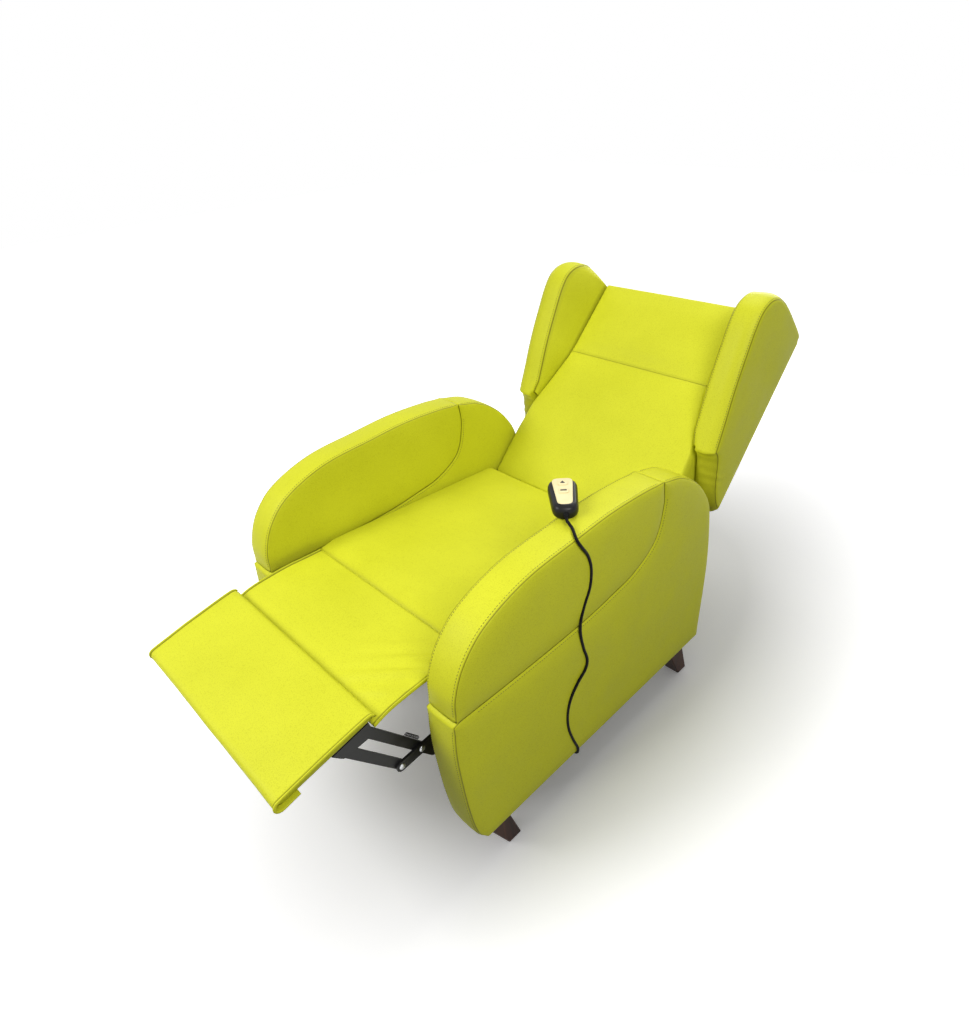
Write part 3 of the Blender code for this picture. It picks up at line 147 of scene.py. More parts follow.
# ---------------------------------------------------------------- lines and outlines
def lengths_to(points):
    """How far along a line each of its points is."""
    return np.concatenate([[0], np.cumsum(np.linalg.norm(np.diff(points, axis=0), axis=1))])


def unit(vectors):
    return vectors / np.maximum(np.linalg.norm(vectors, axis=1), 1e-9)[:, None]


def smooth(points, steps=8):
    """Points on a smooth curve through the given ones, with so many steps between each two."""
    points = np.array(points, float)
    times = lengths_to(points)
    slopes = np.empty_like(points)
    for i in range(len(points)):
        low, high = max(i - 1, 0), min(i + 1, len(points) - 1)
        slopes[i] = (points[high] - points[low]) / (times[high] - times[low])
    result = [points[0]]
    for i in range(len(points) - 1):
        span = times[i + 1] - times[i]
        for step in range(1, steps + 1):
            f = step / steps
            ends = points[i] * (2 * f**3 - 3 * f**2 + 1) + points[i + 1] * (3 * f**2 - 2 * f**3)
            bends = slopes[i] * (f**3 - 2 * f**2 + f) + slopes[i + 1] * (f**3 - f**2)
            result.append(ends + bends * span)
    return np.array(result)


def even(points, step):
    """Points at an even step along a line of points."""
    points = np.array(points, float)
    lengths = lengths_to(points)
    places = np.linspace(0, lengths[-1], max(2, round(lengths[-1] / step) + 1))
    return np.stack([np.interp(places, lengths, points[:, i]) for i in range(points.shape[1])], 1)


def even_loop(points, step):
    """Points at an even step round a closed outline."""
    return even(np.concatenate([points, points[:1]]), step)[:-1]


def chained(*lines):
    """A closed outline from lines whose ends meet."""
    return np.concatenate([line[:-1] for line in lines])


def turn_of(outline):
    """1 for an outline that runs anticlockwise, -1 for the other way."""
    after = np.roll(outline, -1, 0)
    return 1 if (outline[:, 0] * after[:, 1] - after[:, 0] * outline[:, 1]).sum() > 0 else -1


def inset(outline, distance):
    """A closed outline moved inwards, square to its sides. Points that would cross at a corner meet there."""
    before = outline - np.roll(outline, 1, 0)
    after = np.roll(outline, -1, 0) - outline
    square, other = (unit(np.stack([-side[:, 1], side[:, 0]], 1)) for side in (before, after))
    middle = unit(square + other)
    slant = np.clip(np.maximum((middle * square).sum(1), (middle * other).sum(1)), 0.4, 1)
    distance = np.broadcast_to(distance, len(outline))
    moved = outline + middle * (turn_of(outline) * distance / slant)[:, None]
    for _ in range(20):
        ahead = ((np.roll(moved, -1, 0) - moved) * after).sum(1)
        crossed = np.where(ahead < -1e-10)[0]
        for i in crossed:
            j = (i + 1) % len(moved)
            moved[i] = moved[j] = (moved[i] + moved[j]) / 2
        if not len(crossed):
            break
    return untangled(moved)


def untangled(outline):
    """A closed outline without the small loops that its sides make at sharp corners."""
    points = outline.copy()
    count = len(points)
    for i in range(count):
        for k in range(2, 8):
            a, b, c, d = (points[(i + step) % count] for step in (0, 1, k, k + 1))
            first, second, gap = b - a, d - c, c - a
            area = first[0] * second[1] - first[1] * second[0]
            if abs(area) < 1e-14:
                continue
            u = (gap[0] * second[1] - gap[1] * second[0]) / area
            v = (gap[0] * first[1] - gap[1] * first[0]) / area
            if 0 < u < 1 and 0 < v < 1:
                meet = a + u * first
                for step, share in zip(range(1, k + 1), np.linspace(0, 1, k)):
                    points[(i + step) % count] = meet + 0.04 * ((1 - share) * (a - meet) + share * (d - meet))
    return points


def distance_to(points, line, closed=True):
    """How far each 2-D point is from a line."""
    start = line if closed else line[:-1]
    along = (np.roll(line, -1, 0) if closed else line[1:]) - start
    offset = points[:, None] - start
    share = np.clip((offset * along).sum(-1) / np.maximum((along**2).sum(-1), 1e-18), 0, 1)
    return np.linalg.norm(offset - share[..., None] * along, axis=-1).min(1)


def within(points, outline):
    """Which 2-D points lie inside an outline."""
    after = np.roll(outline, -1, 0)
    x, y = points[:, 0, None], points[:, 1, None]
    crosses = (outline[:, 1] > y) != (after[:, 1] > y)
    rise = np.where(after[:, 1] == outline[:, 1], 1e-12, after[:, 1] - outline[:, 1])
    hit = x < outline[:, 0] + (y - outline[:, 1]) * (after[:, 0] - outline[:, 0]) / rise
    return (crosses & hit).sum(1) % 2 == 1


def filled(outline, rows, step):
    """Points inside an outline, and triangles over the outline and them: rows along its edge, an even net within."""
    groups = []
    spacing = np.median(np.linalg.norm(np.diff(outline, axis=0), axis=1))
    for row in rows:
        ring = inset(outline, row)
        ring = ring[within(ring, outline)]
        ring = ring[distance_to(ring, outline) > 0.96 * row]
        kept = []
        for point in ring:
            if not kept or min(np.linalg.norm(point - other) for other in kept[-3:] + kept[:1]) > 0.5 * spacing:
                kept.append(point)
        groups.append(np.array(kept).reshape(-1, 2))
    low, high = outline.min(0), outline.max(0)
    net = []
    for k, v in enumerate(np.arange(low[1], high[1], 0.866 * step)):
        across = np.arange(low[0] + (k % 2) * step / 2, high[0], step)
        net.append(np.stack([across, np.full(len(across), v)], 1))
    net = np.concatenate(net)
    net = net[within(net, outline)]
    edge = (rows[-1] if rows else 0) + 0.6 * step
    groups.append(net[distance_to(net, outline) > edge] if len(net) else net.reshape(-1, 2))
    points = np.concatenate([outline, *groups])
    count = len(outline)
    edges = [(i, (i + 1) % count) for i in range(count)]
    made = delaunay_2d_cdt([Vector(p) for p in points], edges, [], 1, 1e-7)
    origin = [group[0] for group in made[3]]
    return points[count:], [[origin[i] for i in face] for face in made[2]]


def rounded(corners, radius, steps=8, space=0.0022):
    """A closed outline with rounded corners."""
    corners = np.array(corners, float)
    outline = []
    for i, here in enumerate(corners):
        before, after = corners[i - 1], corners[(i + 1) % len(corners)]
        start = here + (before - here) / np.linalg.norm(before - here) * radius
        end = here + (after - here) / np.linalg.norm(after - here) * radius
        for k in range(steps + 1):
            f = k / steps
            outline.append(start * (1 - f) ** 2 + here * 2 * f * (1 - f) + end * f**2)
    return even_loop(outline, space)


def oblong(half, low, high, radius, steps, space):
    """A rounded oblong outline, as wide to both sides."""
    return rounded([(-half, low), (half, low), (half, high), (-half, high)], radius, steps, space)


# ---------------------------------------------------------------- meshes
def in_scene(name, data):
    made = bpy.data.objects.new(name, data)
    bpy.context.scene.collection.objects.link(made)
    return made


class Net:
    """Points, faces and two values at each point: painted shade that darkens seams, grooves and shaded spots, and
    held, which keeps a point in place.
    """

    def __init__(self):
        self.points, self.faces, self.crease, self.held = [], [], [], []

    def ring(self, points, crease=0.0, held=0.0):
        start = len(self.points)
        self.points.extend(np.asarray(points, float))
        count = len(points)
        self.crease.extend(np.broadcast_to(crease, count))
        self.held.extend(np.broadcast_to(held, count))
        return list(range(start, start + count))

    def band(self, low, high, closed=True):
        for i in range(len(low) if closed else len(low) - 1):
            j = (i + 1) % len(low)
            self.faces.append((low[i], low[j], high[j], high[i]))

    def bands(self, rings, closed=True):
        for low, high in zip(rings, rings[1:]):
            self.band(low, high, closed)

    def fill(self, index, faces):
        self.faces.extend([index[i] for i in face] for face in faces)

    def piece(self, name, material):
        mesh = bpy.data.meshes.new(name)
        mesh.from_pydata([tuple(p) for p in self.points], [], self.faces)
        for key, values in (("crease", self.crease), ("held", self.held)):
            mesh.attributes.new(key, "FLOAT", "POINT").data.foreach_set("value", np.array(values, np.float32))
        shape = bmesh.new()
        shape.from_mesh(mesh)
        bmesh.ops.remove_doubles(shape, verts=shape.verts[:], dist=1e-6)
        bmesh.ops.dissolve_degenerate(shape, edges=shape.edges[:], dist=1e-7)
        bmesh.ops.recalc_face_normals(shape, faces=shape.faces[:])
        if shape.calc_volume(signed=True) < 0:
            bmesh.ops.reverse_faces(shape, faces=shape.faces[:])
        shape.to_mesh(mesh)
        shape.free()
        mesh.shade_smooth()
        mesh.materials.append(material)
        return in_scene(name, mesh)


def flat(level):
    """An end's height that is the same all over."""
    return lambda points, depth: np.full(len(depth), level)


def upholster(name, outline, rows, place, rear, front, material):
    """A padded solid over a 2-D outline: rows are (inset, height, painted shade, held) from its rear to its front
    edge.

    rear and front fill the ends: (edge rows, net step, height by points and their distance from the edge).
    """
    net = Net()
    rings, shapes = [], []
    for distance, height, crease, held in rows:
        shape = inset(outline, distance)
        shapes.append(shape)
        rings.append(net.ring(place(*shape.T, np.broadcast_to(height, len(shape))), crease, held))
    net.bands(rings)
    for ring, shape, row, end in ((rings[0], shapes[0], rows[0], rear), (rings[-1], shapes[-1], rows[-1], front)):
        edge_rows, step, height = end
        inner, triangles = filled(shape, edge_rows, step)
        depth = distance_to(inner, shape)
        near = np.linalg.norm(inner[:, None] - shape, axis=-1).argmin(1)
        crease, held = (np.broadcast_to(value, len(shape))[near] for value in row[2:])
        added = net.ring(place(*inner.T, height(inner, depth)), crease * np.exp(-depth / 0.003),
                         held * np.exp(-depth / 0.006))
        net.fill(ring + added, triangles)
    return net.piece(name, material)


def read(items, key, width):
    """A value or vector of every item of a mesh, as an array."""
    values = np.empty(width * len(items), np.float32)
    items.foreach_get(key, values)
    return values.astype(float)


def points_of(piece):
    return read(piece.data.vertices, "co", 3).reshape(-1, 3)


def set_points(piece, points):
    piece.data.vertices.foreach_set("co", np.asarray(points, np.float32).ravel())
    piece.data.update()


def normals_of(piece):
    return read(piece.data.vertices, "normal", 3).reshape(-1, 3)


def value_of(piece, key):
    return read(piece.data.attributes[key].data, "value", 1)


class Surface:
    """A mesh's faces, for values carried from them to points nearby."""

    def __init__(self, points, polygons):
        self.points, self.faces = points, [polygon.vertices[:] for polygon in polygons]
        self.tree = BVHTree.FromPolygons([Vector(point) for point in points], self.faces)

    def carry(self, values, point):
        corners = list(self.faces[self.tree.find_nearest(Vector(point))[2]])
        weights = 1 / (np.linalg.norm(self.points[corners] - point, axis=1) + 1e-5)
        return (values[corners].T * weights).sum(-1) / weights.sum()


CLOTH = {"quality": 5, "mass": 0.3, "tension_stiffness": 12, "compression_stiffness": 12, "shear_stiffness": 6,
         "bending_stiffness": 0.6, "use_pressure": True, "uniform_pressure_force": 4.0}
CLOTH_STEPS = 16


def swell(piece, cap, voxel=0.009, free=None):
    """Swells an even copy of the piece as cloth and moves the piece's own points as the copy's moved.

    Held points stay. free is a share by place that says how far the rest may move.
    """
    scene = bpy.context.scene
    shell = in_scene("shell", piece.data.copy())
    change = shell.modifiers.new("even", "REMESH")
    change.mode = "VOXEL"
    change.voxel_size = voxel
    mesh = bpy.data.meshes.new_from_object(shell.evaluated_get(bpy.context.evaluated_depsgraph_get()))
    shell.modifiers.clear()
    shell.data = mesh
    start, own = points_of(shell), points_of(piece)
    held = value_of(piece, "held")
    surface = Surface(own, piece.data.polygons)
    pins = shell.vertex_groups.new(name="pins")
    for i, point in enumerate(start):
        share = float(surface.carry(held, point))
        if share > 0.02:
            pins.add([i], min(1.0, share), "REPLACE")
    cloth = shell.modifiers.new("swell", "CLOTH")
    for key, value in CLOTH.items():
        setattr(cloth.settings, key, value)
    cloth.settings.vertex_group_mass = pins.name
    cloth.settings.effector_weights.gravity = 0
    cloth.point_cache.frame_start, cloth.point_cache.frame_end = 1, CLOTH_STEPS
    for step in range(1, CLOTH_STEPS + 1):
        scene.frame_set(step)
    moves = points_of(shell.evaluated_get(bpy.context.evaluated_depsgraph_get())) - start
    size = np.linalg.norm(moves, axis=1)[:, None] + 1e-9
    moves *= cap * np.tanh(size / cap) / size
    links = np.array([edge.vertices[:] for edge in mesh.edges])
    for _ in range(6):
        total, count = np.zeros_like(moves), np.zeros(len(moves))
        for a, b in ((0, 1), (1, 0)):
            np.add.at(total, links[:, a], moves[links[:, b]])
            np.add.at(count, links[:, a], 1)
        moves = 0.4 * moves + 0.6 * total / np.maximum(count, 1)[:, None]
    surface = Surface(start, mesh.polygons)
    shift = np.array([surface.carry(moves, point) for point in own]) * (1 - held)[:, None]
    if free is not None:
        shift *= free(own)[:, None]
    set_points(piece, own + shift)
    scene.frame_set(1)
    bpy.data.objects.remove(shell)


def uneven(piece, amount, size, seed):
    """Lets a soft surface wander a little, as cloth over foam does."""
    own, square = points_of(piece), normals_of(piece)
    give = 1 - value_of(piece, "held")
    offset = Vector((7.3 * seed, 3.1 * seed, 1.7 * seed))
    waves = np.array([noise.fractal(Vector(p) / size + offset, 1.0, 2.0, 2) for p in own])
    set_points(piece, own + square * (amount * waves * give)[:, None])


def dress(piece, body, slot, *nodes):
    """Rides a piece on a body, in the CAD nodes' place if it stands for any. The slot is not used."""
    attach(piece, body)
    if nodes:
        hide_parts(*nodes)


def soft(piece, body, fill, *nodes):
    """Dresses a padded piece."""
    dress(piece, body, "lime_leatherette", *nodes)


def stitched(name, lines, on, body, length=0.0042, space=0.0018, radius=0.00055):
    """Rows of stitches lying on a piece: short rounded threads along lines near its surface."""
    tree = Surface(points_of(on), on.data.polygons).tree
    net = Net()
    for line in lines:
        marks = even(line, length + space)
        for here, after in zip(marks, marks[1:]):
            along = (after - here) / np.linalg.norm(after - here)
            rings = []
            for share, lift, thick in ((0.0, -0.8, 0.5), (0.18, 0.1, 1.0), (0.5, 0.35, 1.0), (0.82, 0.1, 1.0),
                                       (1.0, -0.8, 0.5)):
                place, square = map(np.array, tree.find_nearest(Vector(here + along * length * share))[:2])
                side = np.cross(along, square)
                rings.append(net.ring([place + square * radius * lift
                                       + radius * thick * (math.cos(a) * side + math.sin(a) * square)
                                       for a in np.arange(6) * math.pi / 3]))
            net.bands(rings)
            net.faces += [rings[0][::-1], rings[-1]]
    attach(net.piece(name, THREAD), body)


def turned(name, profile, place, material, sides=24):
    """A round piece from (height, radius) pairs; place turns local points, with the axis along z, to the frame."""
    net = Net()
    angles = np.arange(sides) * 2 * math.pi / sides
    rings = [net.ring([place @ Vector((r * math.cos(a), r * math.sin(a), z)) for a in angles]) for z, r in profile]
    net.bands(rings)
    net.faces += [rings[0], rings[-1]]
    return net.piece(name, material)


def tube(name, points, radius, roundness, material):
    """A round wire or cord along a line of points."""
    data = bpy.data.curves.new(name, "CURVE")
    data.dimensions = "3D"
    data.bevel_depth = radius
    data.bevel_resolution = roundness
    data.use_fill_caps = True
    line = data.splines.new("POLY")
    line.points.add(len(points) - 1)
    for knot, point in zip(line.points, points):
        knot.co = (*point, 1)
    line.use_smooth = True
    data.materials.append(material)
    return in_scene(name, data)


# ---------------------------------------------------------------- materials
class Shader:
    """The nodes of a material or world. Inputs are given by name or _number, as values or as other nodes' outputs."""

    def __init__(self, owner):
        owner.use_nodes = True
        self.owner, self.nodes, self.links = owner, owner.node_tree.nodes, owner.node_tree.links

    def set(self, node, **inputs):
        for key, value in inputs.items():
            socket = node.inputs[int(key[1:]) if key[1:].isdigit() else key.replace("_", " ")]
            if isinstance(value, bpy.types.NodeSocket):
                self.links.new(value, socket)
            else:
                socket.default_value = value

    def add(self, kind, settings=(), out=0, **inputs):
        """A new node's output. settings are (name, value) pairs that come before its inputs."""
        made = self.nodes.new("ShaderNode" + kind)
        for key, value in settings:
            setattr(made, key, value)
        self.set(made, **inputs)
        return made.outputs[out]

    def texture(self, kind, scale, stretch=(1, 1, 1), settings=(), **inputs):
        """A procedural texture in the piece's own places, so it stays on the piece as it moves."""
        place = self.add("TexCoord", out="Object")
        fit = self.add("Mapping", Vector=place, Scale=[scale * value for value in stretch])
        return self.add(kind, settings, TEXTURE_OUT[kind], Vector=fit, Scale=1.0, **inputs)

    def ramp(self, source, *stops):
        made = self.add("ValToRGB", Fac=source)
        line = made.node.color_ramp
        while len(line.elements) < len(stops):
            line.elements.new(0.5)
        for element, (place, colour) in zip(line.elements, stops):
            element.position = place
            element.color = (*colour, 1)
        return made

    def spread(self, source, low, high, start=0.0, end=1.0):
        return self.add("MapRange", Value=source, From_Min=start, From_Max=end, To_Min=low, To_Max=high)

    def bump(self, source, depth, strength, **under):
        return self.add("Bump", Height=source, Distance=depth, Strength=strength, **under)

    def mix(self, kind, factor, a, b):
        return self.add("Mix", (("data_type", "RGBA"), ("blend_type", kind)), "Result", Factor=factor, A=a, B=b)

    def maths(self, kind, *values):
        return self.add("Math", (("operation", kind),), _0=values[0], _1=values[1])

    def seen(self):
        """1 for rays that see the backdrop itself: from the camera, in reflections and through glass."""
        rays = self.nodes.new("ShaderNodeLightPath").outputs
        direct = self.maths("MAXIMUM", rays["Is Camera Ray"], rays["Is Glossy Ray"])
        return self.maths("MAXIMUM", direct, rays["Is Transmission Ray"])


TEXTURE_OUT = {"TexNoise": "Fac", "TexVoronoi": "Distance"}


def new_material(name, make, **values):
    """A material whose main shader takes its inputs from make(), and values that are the same all over it."""
    made = Shader(bpy.data.materials.new(name))
    made.set(made.nodes["Principled BSDF"], **make(made), **values)
    return made.owner


def leatherette(made):
    cloud = made.texture("TexNoise", 7.0, Detail=4.0, Roughness=0.55)
    tone = made.ramp(cloud, (0.3, (0.625, 0.64, 0.026)), (0.7, (0.68, 0.695, 0.032)))
    grain = made.texture("TexVoronoi", 620.0, settings=(("feature", "SMOOTH_F1"),), Smoothness=0.6, Randomness=0.9)
    # painted shade: a value on each point darkens the leatherette towards dark olive at seams, hem grooves and shaded
    # spots
    crease = made.add("Attribute", (("attribute_name", "crease"),), "Fac")
    shade = made.mix("MULTIPLY", crease, tone, (0.17, 0.15, 0.05, 1))
    pores = made.mix("MULTIPLY", made.spread(grain, 0.0, 1.0, 0.45, 0.75), shade, (0.88, 0.87, 0.75, 1))
    waves = made.texture("TexNoise", 38.0, Detail=3.0, Roughness=0.5)
    return {"Base_Color": pores, "Roughness": made.spread(cloud, 0.44, 0.56, 0.3, 0.7),
            "Normal": made.bump(grain, 0.00035, 0.45, Normal=made.bump(waves, 0.0012, 0.35))}


def thread(made):
    twist = made.texture("TexNoise", 900.0, Detail=2.0)
    return {"Base_Color": made.ramp(twist, (0.3, (0.135, 0.125, 0.01)), (0.7, (0.2, 0.19, 0.014))),
            "Normal": made.bump(twist, 0.0002, 0.6)}


def dark_wood(made):
    grain = made.texture("TexNoise", 60.0, (1.6, 1.6, 0.1), Detail=6.0, Roughness=0.62, Distortion=0.6)
    tone = made.ramp(grain, (0.32, (0.014, 0.005, 0.003)), (0.52, (0.042, 0.014, 0.008)), (0.72, (0.082, 0.03, 0.016)))
    return {"Base_Color": tone, "Roughness": made.spread(grain, 0.32, 0.48), "Normal": made.bump(grain, 0.0004, 0.4)}


def plywood(made):
    layers = made.texture("TexNoise", 18.0, (0.5, 3.0, 9.0), Detail=5.0, Distortion=0.8)
    tone = made.ramp(layers, (0.3, (0.36, 0.22, 0.1)), (0.55, (0.56, 0.39, 0.21)), (0.75, (0.66, 0.49, 0.29)))
    return {"Base_Color": tone, "Normal": made.bump(layers, 0.0005, 0.4)}


def moulded(low, high, roughness, grain_size, depth):
    """A moulded or coated surface with fine texture and a little change of tone, of two greys or colours."""
    low, high = ((tone,) * 3 if isinstance(tone, float) else tone for tone in (low, high))

    def make(made):
        cloud = made.texture("TexNoise", 22.0, Detail=3.0)
        grain = made.texture("TexNoise", 1 / grain_size, Detail=2.0)
        return {"Base_Color": made.ramp(cloud, (0.35, low), (0.65, high)),
                "Roughness": made.spread(cloud, roughness - 0.06, roughness + 0.06, 0.3, 0.7),
                "Normal": made.bump(grain, depth, 0.5)}
    return make


def brushed(made):
    lines = made.texture("TexNoise", 900.0, (1.0, 0.03, 1.0), Detail=3.0)
    return {"Base_Color": made.ramp(lines, (0.3, (0.42, 0.43, 0.44)), (0.7, (0.62, 0.63, 0.64))),
            "Roughness": made.spread(lines, 0.24, 0.4), "Normal": made.bump(lines, 0.0001, 0.5)}


LEATHER = new_material("lime_leatherette", leatherette, Specular_IOR_Level=0.14)
THREAD = new_material("stitch_thread", thread, Roughness=0.65)
STEEL = new_material("bright_steel", brushed, Metallic=1.0)
BLACK_PLASTIC = new_material("black_plastic", moulded(0.005, 0.009, 0.34, 0.0006, 0.0001), Specular_IOR_Level=0.22)
BLACK_STEEL = new_material("black_steel", moulded(0.006, 0.012, 0.38, 0.0012, 0.00015), Specular_IOR_Level=0.3)
CREAM = new_material("cream_plastic", moulded((0.8, 0.69, 0.36), (0.86, 0.76, 0.43), 0.42, 0.0005, 0.00004))
RUBBER = new_material("cord_rubber", moulded(0.004, 0.008, 0.45, 0.0008, 0.00008), Specular_IOR_Level=0.07)
MARK = new_material("dark_mark", moulded((0.018, 0.014, 0.012), (0.03, 0.024, 0.02), 0.5, 0.0004, 0.00003))
PLYWOOD = new_material("plywood", plywood, Roughness=0.68)
DARK_WOOD = new_material("dark_wood", dark_wood, Specular_IOR_Level=0.12)
SLOT_MATERIALS = {"plywood": PLYWOOD, "dark_wood": DARK_WOOD, "bright_steel": STEEL, "black_steel": BLACK_STEEL,
                  "black_plastic": BLACK_PLASTIC, "cream_plastic": CREAM, "lime_leatherette": LEATHER}
for row in frame["record"]["subparts"]:
    NODES[row["node"]].data.materials.clear()
    NODES[row["node"]].data.materials.append(SLOT_MATERIALS[row["material_slot"]])


# ---------------------------------------------------------------- frames
def lengthwise(y0, z0, degrees):
    """A place function for points (across, along, out) on a sloping plane."""
    c, s = math.cos(math.radians(degrees)), math.sin(math.radians(degrees))

    def place(across, along, out):
        across, along, out = np.broadcast_arrays(across, along, out)
        return np.stack([across, SHIFT + y0 + along * c - out * s, z0 + along * s + out * c], -1)
    return place


on_seat = lengthwise(*SEAT_FRONT, SEAT_SLOPE)
on_back = lengthwise(*BACK_FOOT, BACK_ANGLE)
BACK_TURN = math.radians(BACK_ANGLE)
BACK_AXES = np.array([[math.cos(BACK_TURN), -math.sin(BACK_TURN)], [math.sin(BACK_TURN), math.cos(BACK_TURN)]])


def on_side(side):
    """A place function for side outlines' points and how far out they stand on a side."""
    def place(y, z, x):
        y, z, x = np.broadcast_arrays(y, z, x)
        return np.stack([side * x, y + SHIFT, z], -1)
    return place


def bow(share):
    """A quarter round: 0 at 0, 1 from 1 on."""
    share = np.clip(share, 0, 1)
    return np.sqrt(np.clip(1 - (1 - share) ** 2, 0, 1))


def wing_foot(s):
    """How far out the wing's inner panel starts, at a place along the back."""
    line = np.array(WING_FOOT_LINE)
    return WING_OUTER - np.interp(s, line[:, 0], line[:, 1])


def rear_t(s):
    """The back's rear plane at a place along the back."""
    share = (s - REAR_BOTTOM[0]) / (REAR_TOP[0] - REAR_BOTTOM[0])
    return REAR_BOTTOM[1] + share * (REAR_TOP[1] - REAR_BOTTOM[1])


# ---------------------------------------------------------------- camera, light and floor
SKY = 0.25
FLOOR_REACH, FLOOR_GLOW = 9.0, 0.12
SHADOW_MIDDLE, SHADOW_REACH = (0.05, 0.22), (0.62, 1.15)
LAMPS = (("key", (-0.9, -1.9, 2.1), (0, -0.1, 0.4), 1.3, 38), ("top", (-0.1, 1.3, 2.6), (0, 0, 0.4), 1.6, 22),
         ("fill", (1.6, -0.7, 2.1), (0.3, 0, 0.55), 1.0, 25), ("rear", (-0.4, 2.5, 1.3), (0, 0.3, 0.5), 1.2, 15))


def set_scene():
    scene = bpy.context.scene
    scene.view_settings.view_transform = "Standard"
    lens = bpy.data.cameras.new("camera")
    lens.sensor_fit = "VERTICAL"
    lens.sensor_width = lens.sensor_height = 36.0
    lens.lens = 23.917
    lens.shift_x, lens.shift_y = -0.02068, -0.01045
    lens.clip_start, lens.clip_end = 0.05, 60
    camera = in_scene("camera", lens)
    camera.matrix_world = Matrix(((0.7080137, -0.338977, 0.619525, 0.98291),
                                  (0.7035219, 0.4148702, -0.5770093, -0.81434 + SHIFT),
                                  (-0.0614296, 0.8443798, 0.5322115, 1.36817), (0, 0, 0, 1)))
    scene.camera = camera
    scene.world = bpy.data.worlds.new("studio")
    sky = Shader(scene.world)
    light = sky.nodes["Background"]
    sky.set(light, Color=(1, 1, 1, 1), Strength=SKY)
    shown = sky.add("Background", Color=(1, 1, 1, 1))
    mix = sky.add("MixShader", Fac=sky.seen(), _1=light.outputs["Background"], _2=shown)
    sky.set(sky.nodes["World Output"], Surface=mix)
    kept_dark = bpy.data.collections.new("without_fill")
    for name, place, aim, size, power in LAMPS:
        lamp = bpy.data.lights.new(name, "AREA")
        lamp.shape = "DISK"
        lamp.size = size
        lamp.energy = power
        made = in_scene(name, lamp)
        made.location = place
        made.rotation_euler = (Vector(aim) - Vector(place)).to_track_quat("-Z", "Y").to_euler()
        if name in ("fill", "rear"):
            made.light_linking.receiver_collection = kept_dark
    mesh = bpy.data.meshes.new("floor")
    corners = [(x * FLOOR_REACH, y * FLOOR_REACH, 0) for x, y in ((-1, -1), (1, -1), (1, 1), (-1, 1))]
    mesh.from_pydata(corners, [], [(0, 1, 2, 3)])
    mesh.materials.append(floor_shader())
    floor = in_scene("floor", mesh)
    kept_dark.objects.link(floor)
    kept_dark.collection_objects[0].light_linking.link_state = "EXCLUDE"


def floor_shader():
    """A pale floor that shows white and keeps the chair's shadow; away from the chair it melts into the backdrop."""
    made = Shader(bpy.data.materials.new("pale_floor"))
    body = made.nodes["Principled BSDF"]
    speck = made.texture("TexNoise", 3.0, Detail=2.0)
    shown, lighting = (made.ramp(speck, (0.3, (low,) * 3), (0.7, (high,) * 3))
                       for low, high in ((0.95, 0.97), (0.15, 0.17)))
    seen = made.seen()
    made.set(body, Base_Color=made.mix("MIX", seen, lighting, shown), Roughness=0.9, Specular_IOR_Level=0.1)
    scale = [1 / reach for reach in SHADOW_REACH]
    start = [-middle / reach for middle, reach in zip(SHADOW_MIDDLE, SHADOW_REACH)]
    place = made.add("TexCoord", out="Object")
    oval = made.add("Mapping", Vector=place, Scale=(*scale, 0), Location=(*start, 0))
    away = made.add("VectorMath", (("operation", "LENGTH"),), "Value", _0=oval)
    share = made.maths("MULTIPLY", seen, made.spread(away, FLOOR_GLOW, 1.0, 0.58, 1.5))
    both = made.add("AddShader", _0=body.outputs["BSDF"], _1=made.add("Emission", Strength=share))
    made.set(made.nodes["Material Output"], Surface=both)
    return made.owner


# ---------------------------------------------------------------- arms
STEP = 0.0065
PANEL_STEP = 0.01                        # size of the panels' net
ROLL_WIDE, ROLL_HIGH = 0.026, 0.005      # a panel's rolled edge: along the panel and out of it
INNER_ROLL = 0.7                         # the inner panels' share of the roll's height
ROLL_TURNS = (0, 7, 15, 23, 31)          # degrees round the roll at which it has rows
STRIP_DROP, STRIP_RISE = 0.0036, 0.0016  # the strip's fall to its seams, and its crown
STRIP_NEAR = np.array([0.001, 0.003, 0.0065, 0.011, 0.017, 0.024])      # its rows, from a seam
SEAM_SINK = 0.0009
EDGE_ROWS = (0.0026, 0.0056, 0.009, 0.013, 0.0175)


def roll_rows():
    """Rows of a panel's rolled edge from its seam on: (inset, height, painted shade, held)."""
    rows = []
    for degrees in ROLL_TURNS:
        turn = math.radians(degrees)
        crease = 1.0 if degrees == 0 else 0.5 * (degrees < 14)
        rows.append((ROLL_WIDE * (1 - math.cos(turn)), ROLL_HIGH * math.sin(turn), crease, 1.0 - 0.4 * degrees / 31))
    return rows


def rolled(depth):
    """The rolled edge's height at a distance from its seam."""
    return ROLL_HIGH * bow(depth / ROLL_WIDE)


def strip_rows(low, high, free):
    """Rows of a strip between two seams, crowned and rolled to the seams where it is free, flat where it is not."""
    middle, half = (low + high) / 2, (high - low) / 2
    rows = []
    near = STRIP_NEAR[STRIP_NEAR < half - 0.002]
    for u in np.concatenate([near / half - 1, [0], 1 - near[::-1] / half]):
        gap = (1 - abs(u)) * half
        sink = SEAM_SINK * max(0.0, 1 - gap / 0.0028)
        rows.append((free * (STRIP_DROP * abs(u) ** 3.2 - STRIP_RISE + sink), middle + u * half,
                     0.35 * (gap < 0.002), 1.0))
    return rows


def arm_rows(free):
    """Rows right round the arm from its inner face's edge over the strip to its outer face's edge."""
    low, high = ARM_IN + ARM_SEAM, ARM_OUT - ARM_SEAM
    sunk = free * (STRIP_DROP - STRIP_RISE + SEAM_SINK)
    inner = [(sunk + inward, low - INNER_ROLL * height, crease, held)
             for inward, height, crease, held in roll_rows()[::-1]]
    outer = [(sunk + inward, high + height, crease, held) for inward, height, crease, held in roll_rows()]
    return inner + strip_rows(low, high, free) + outer


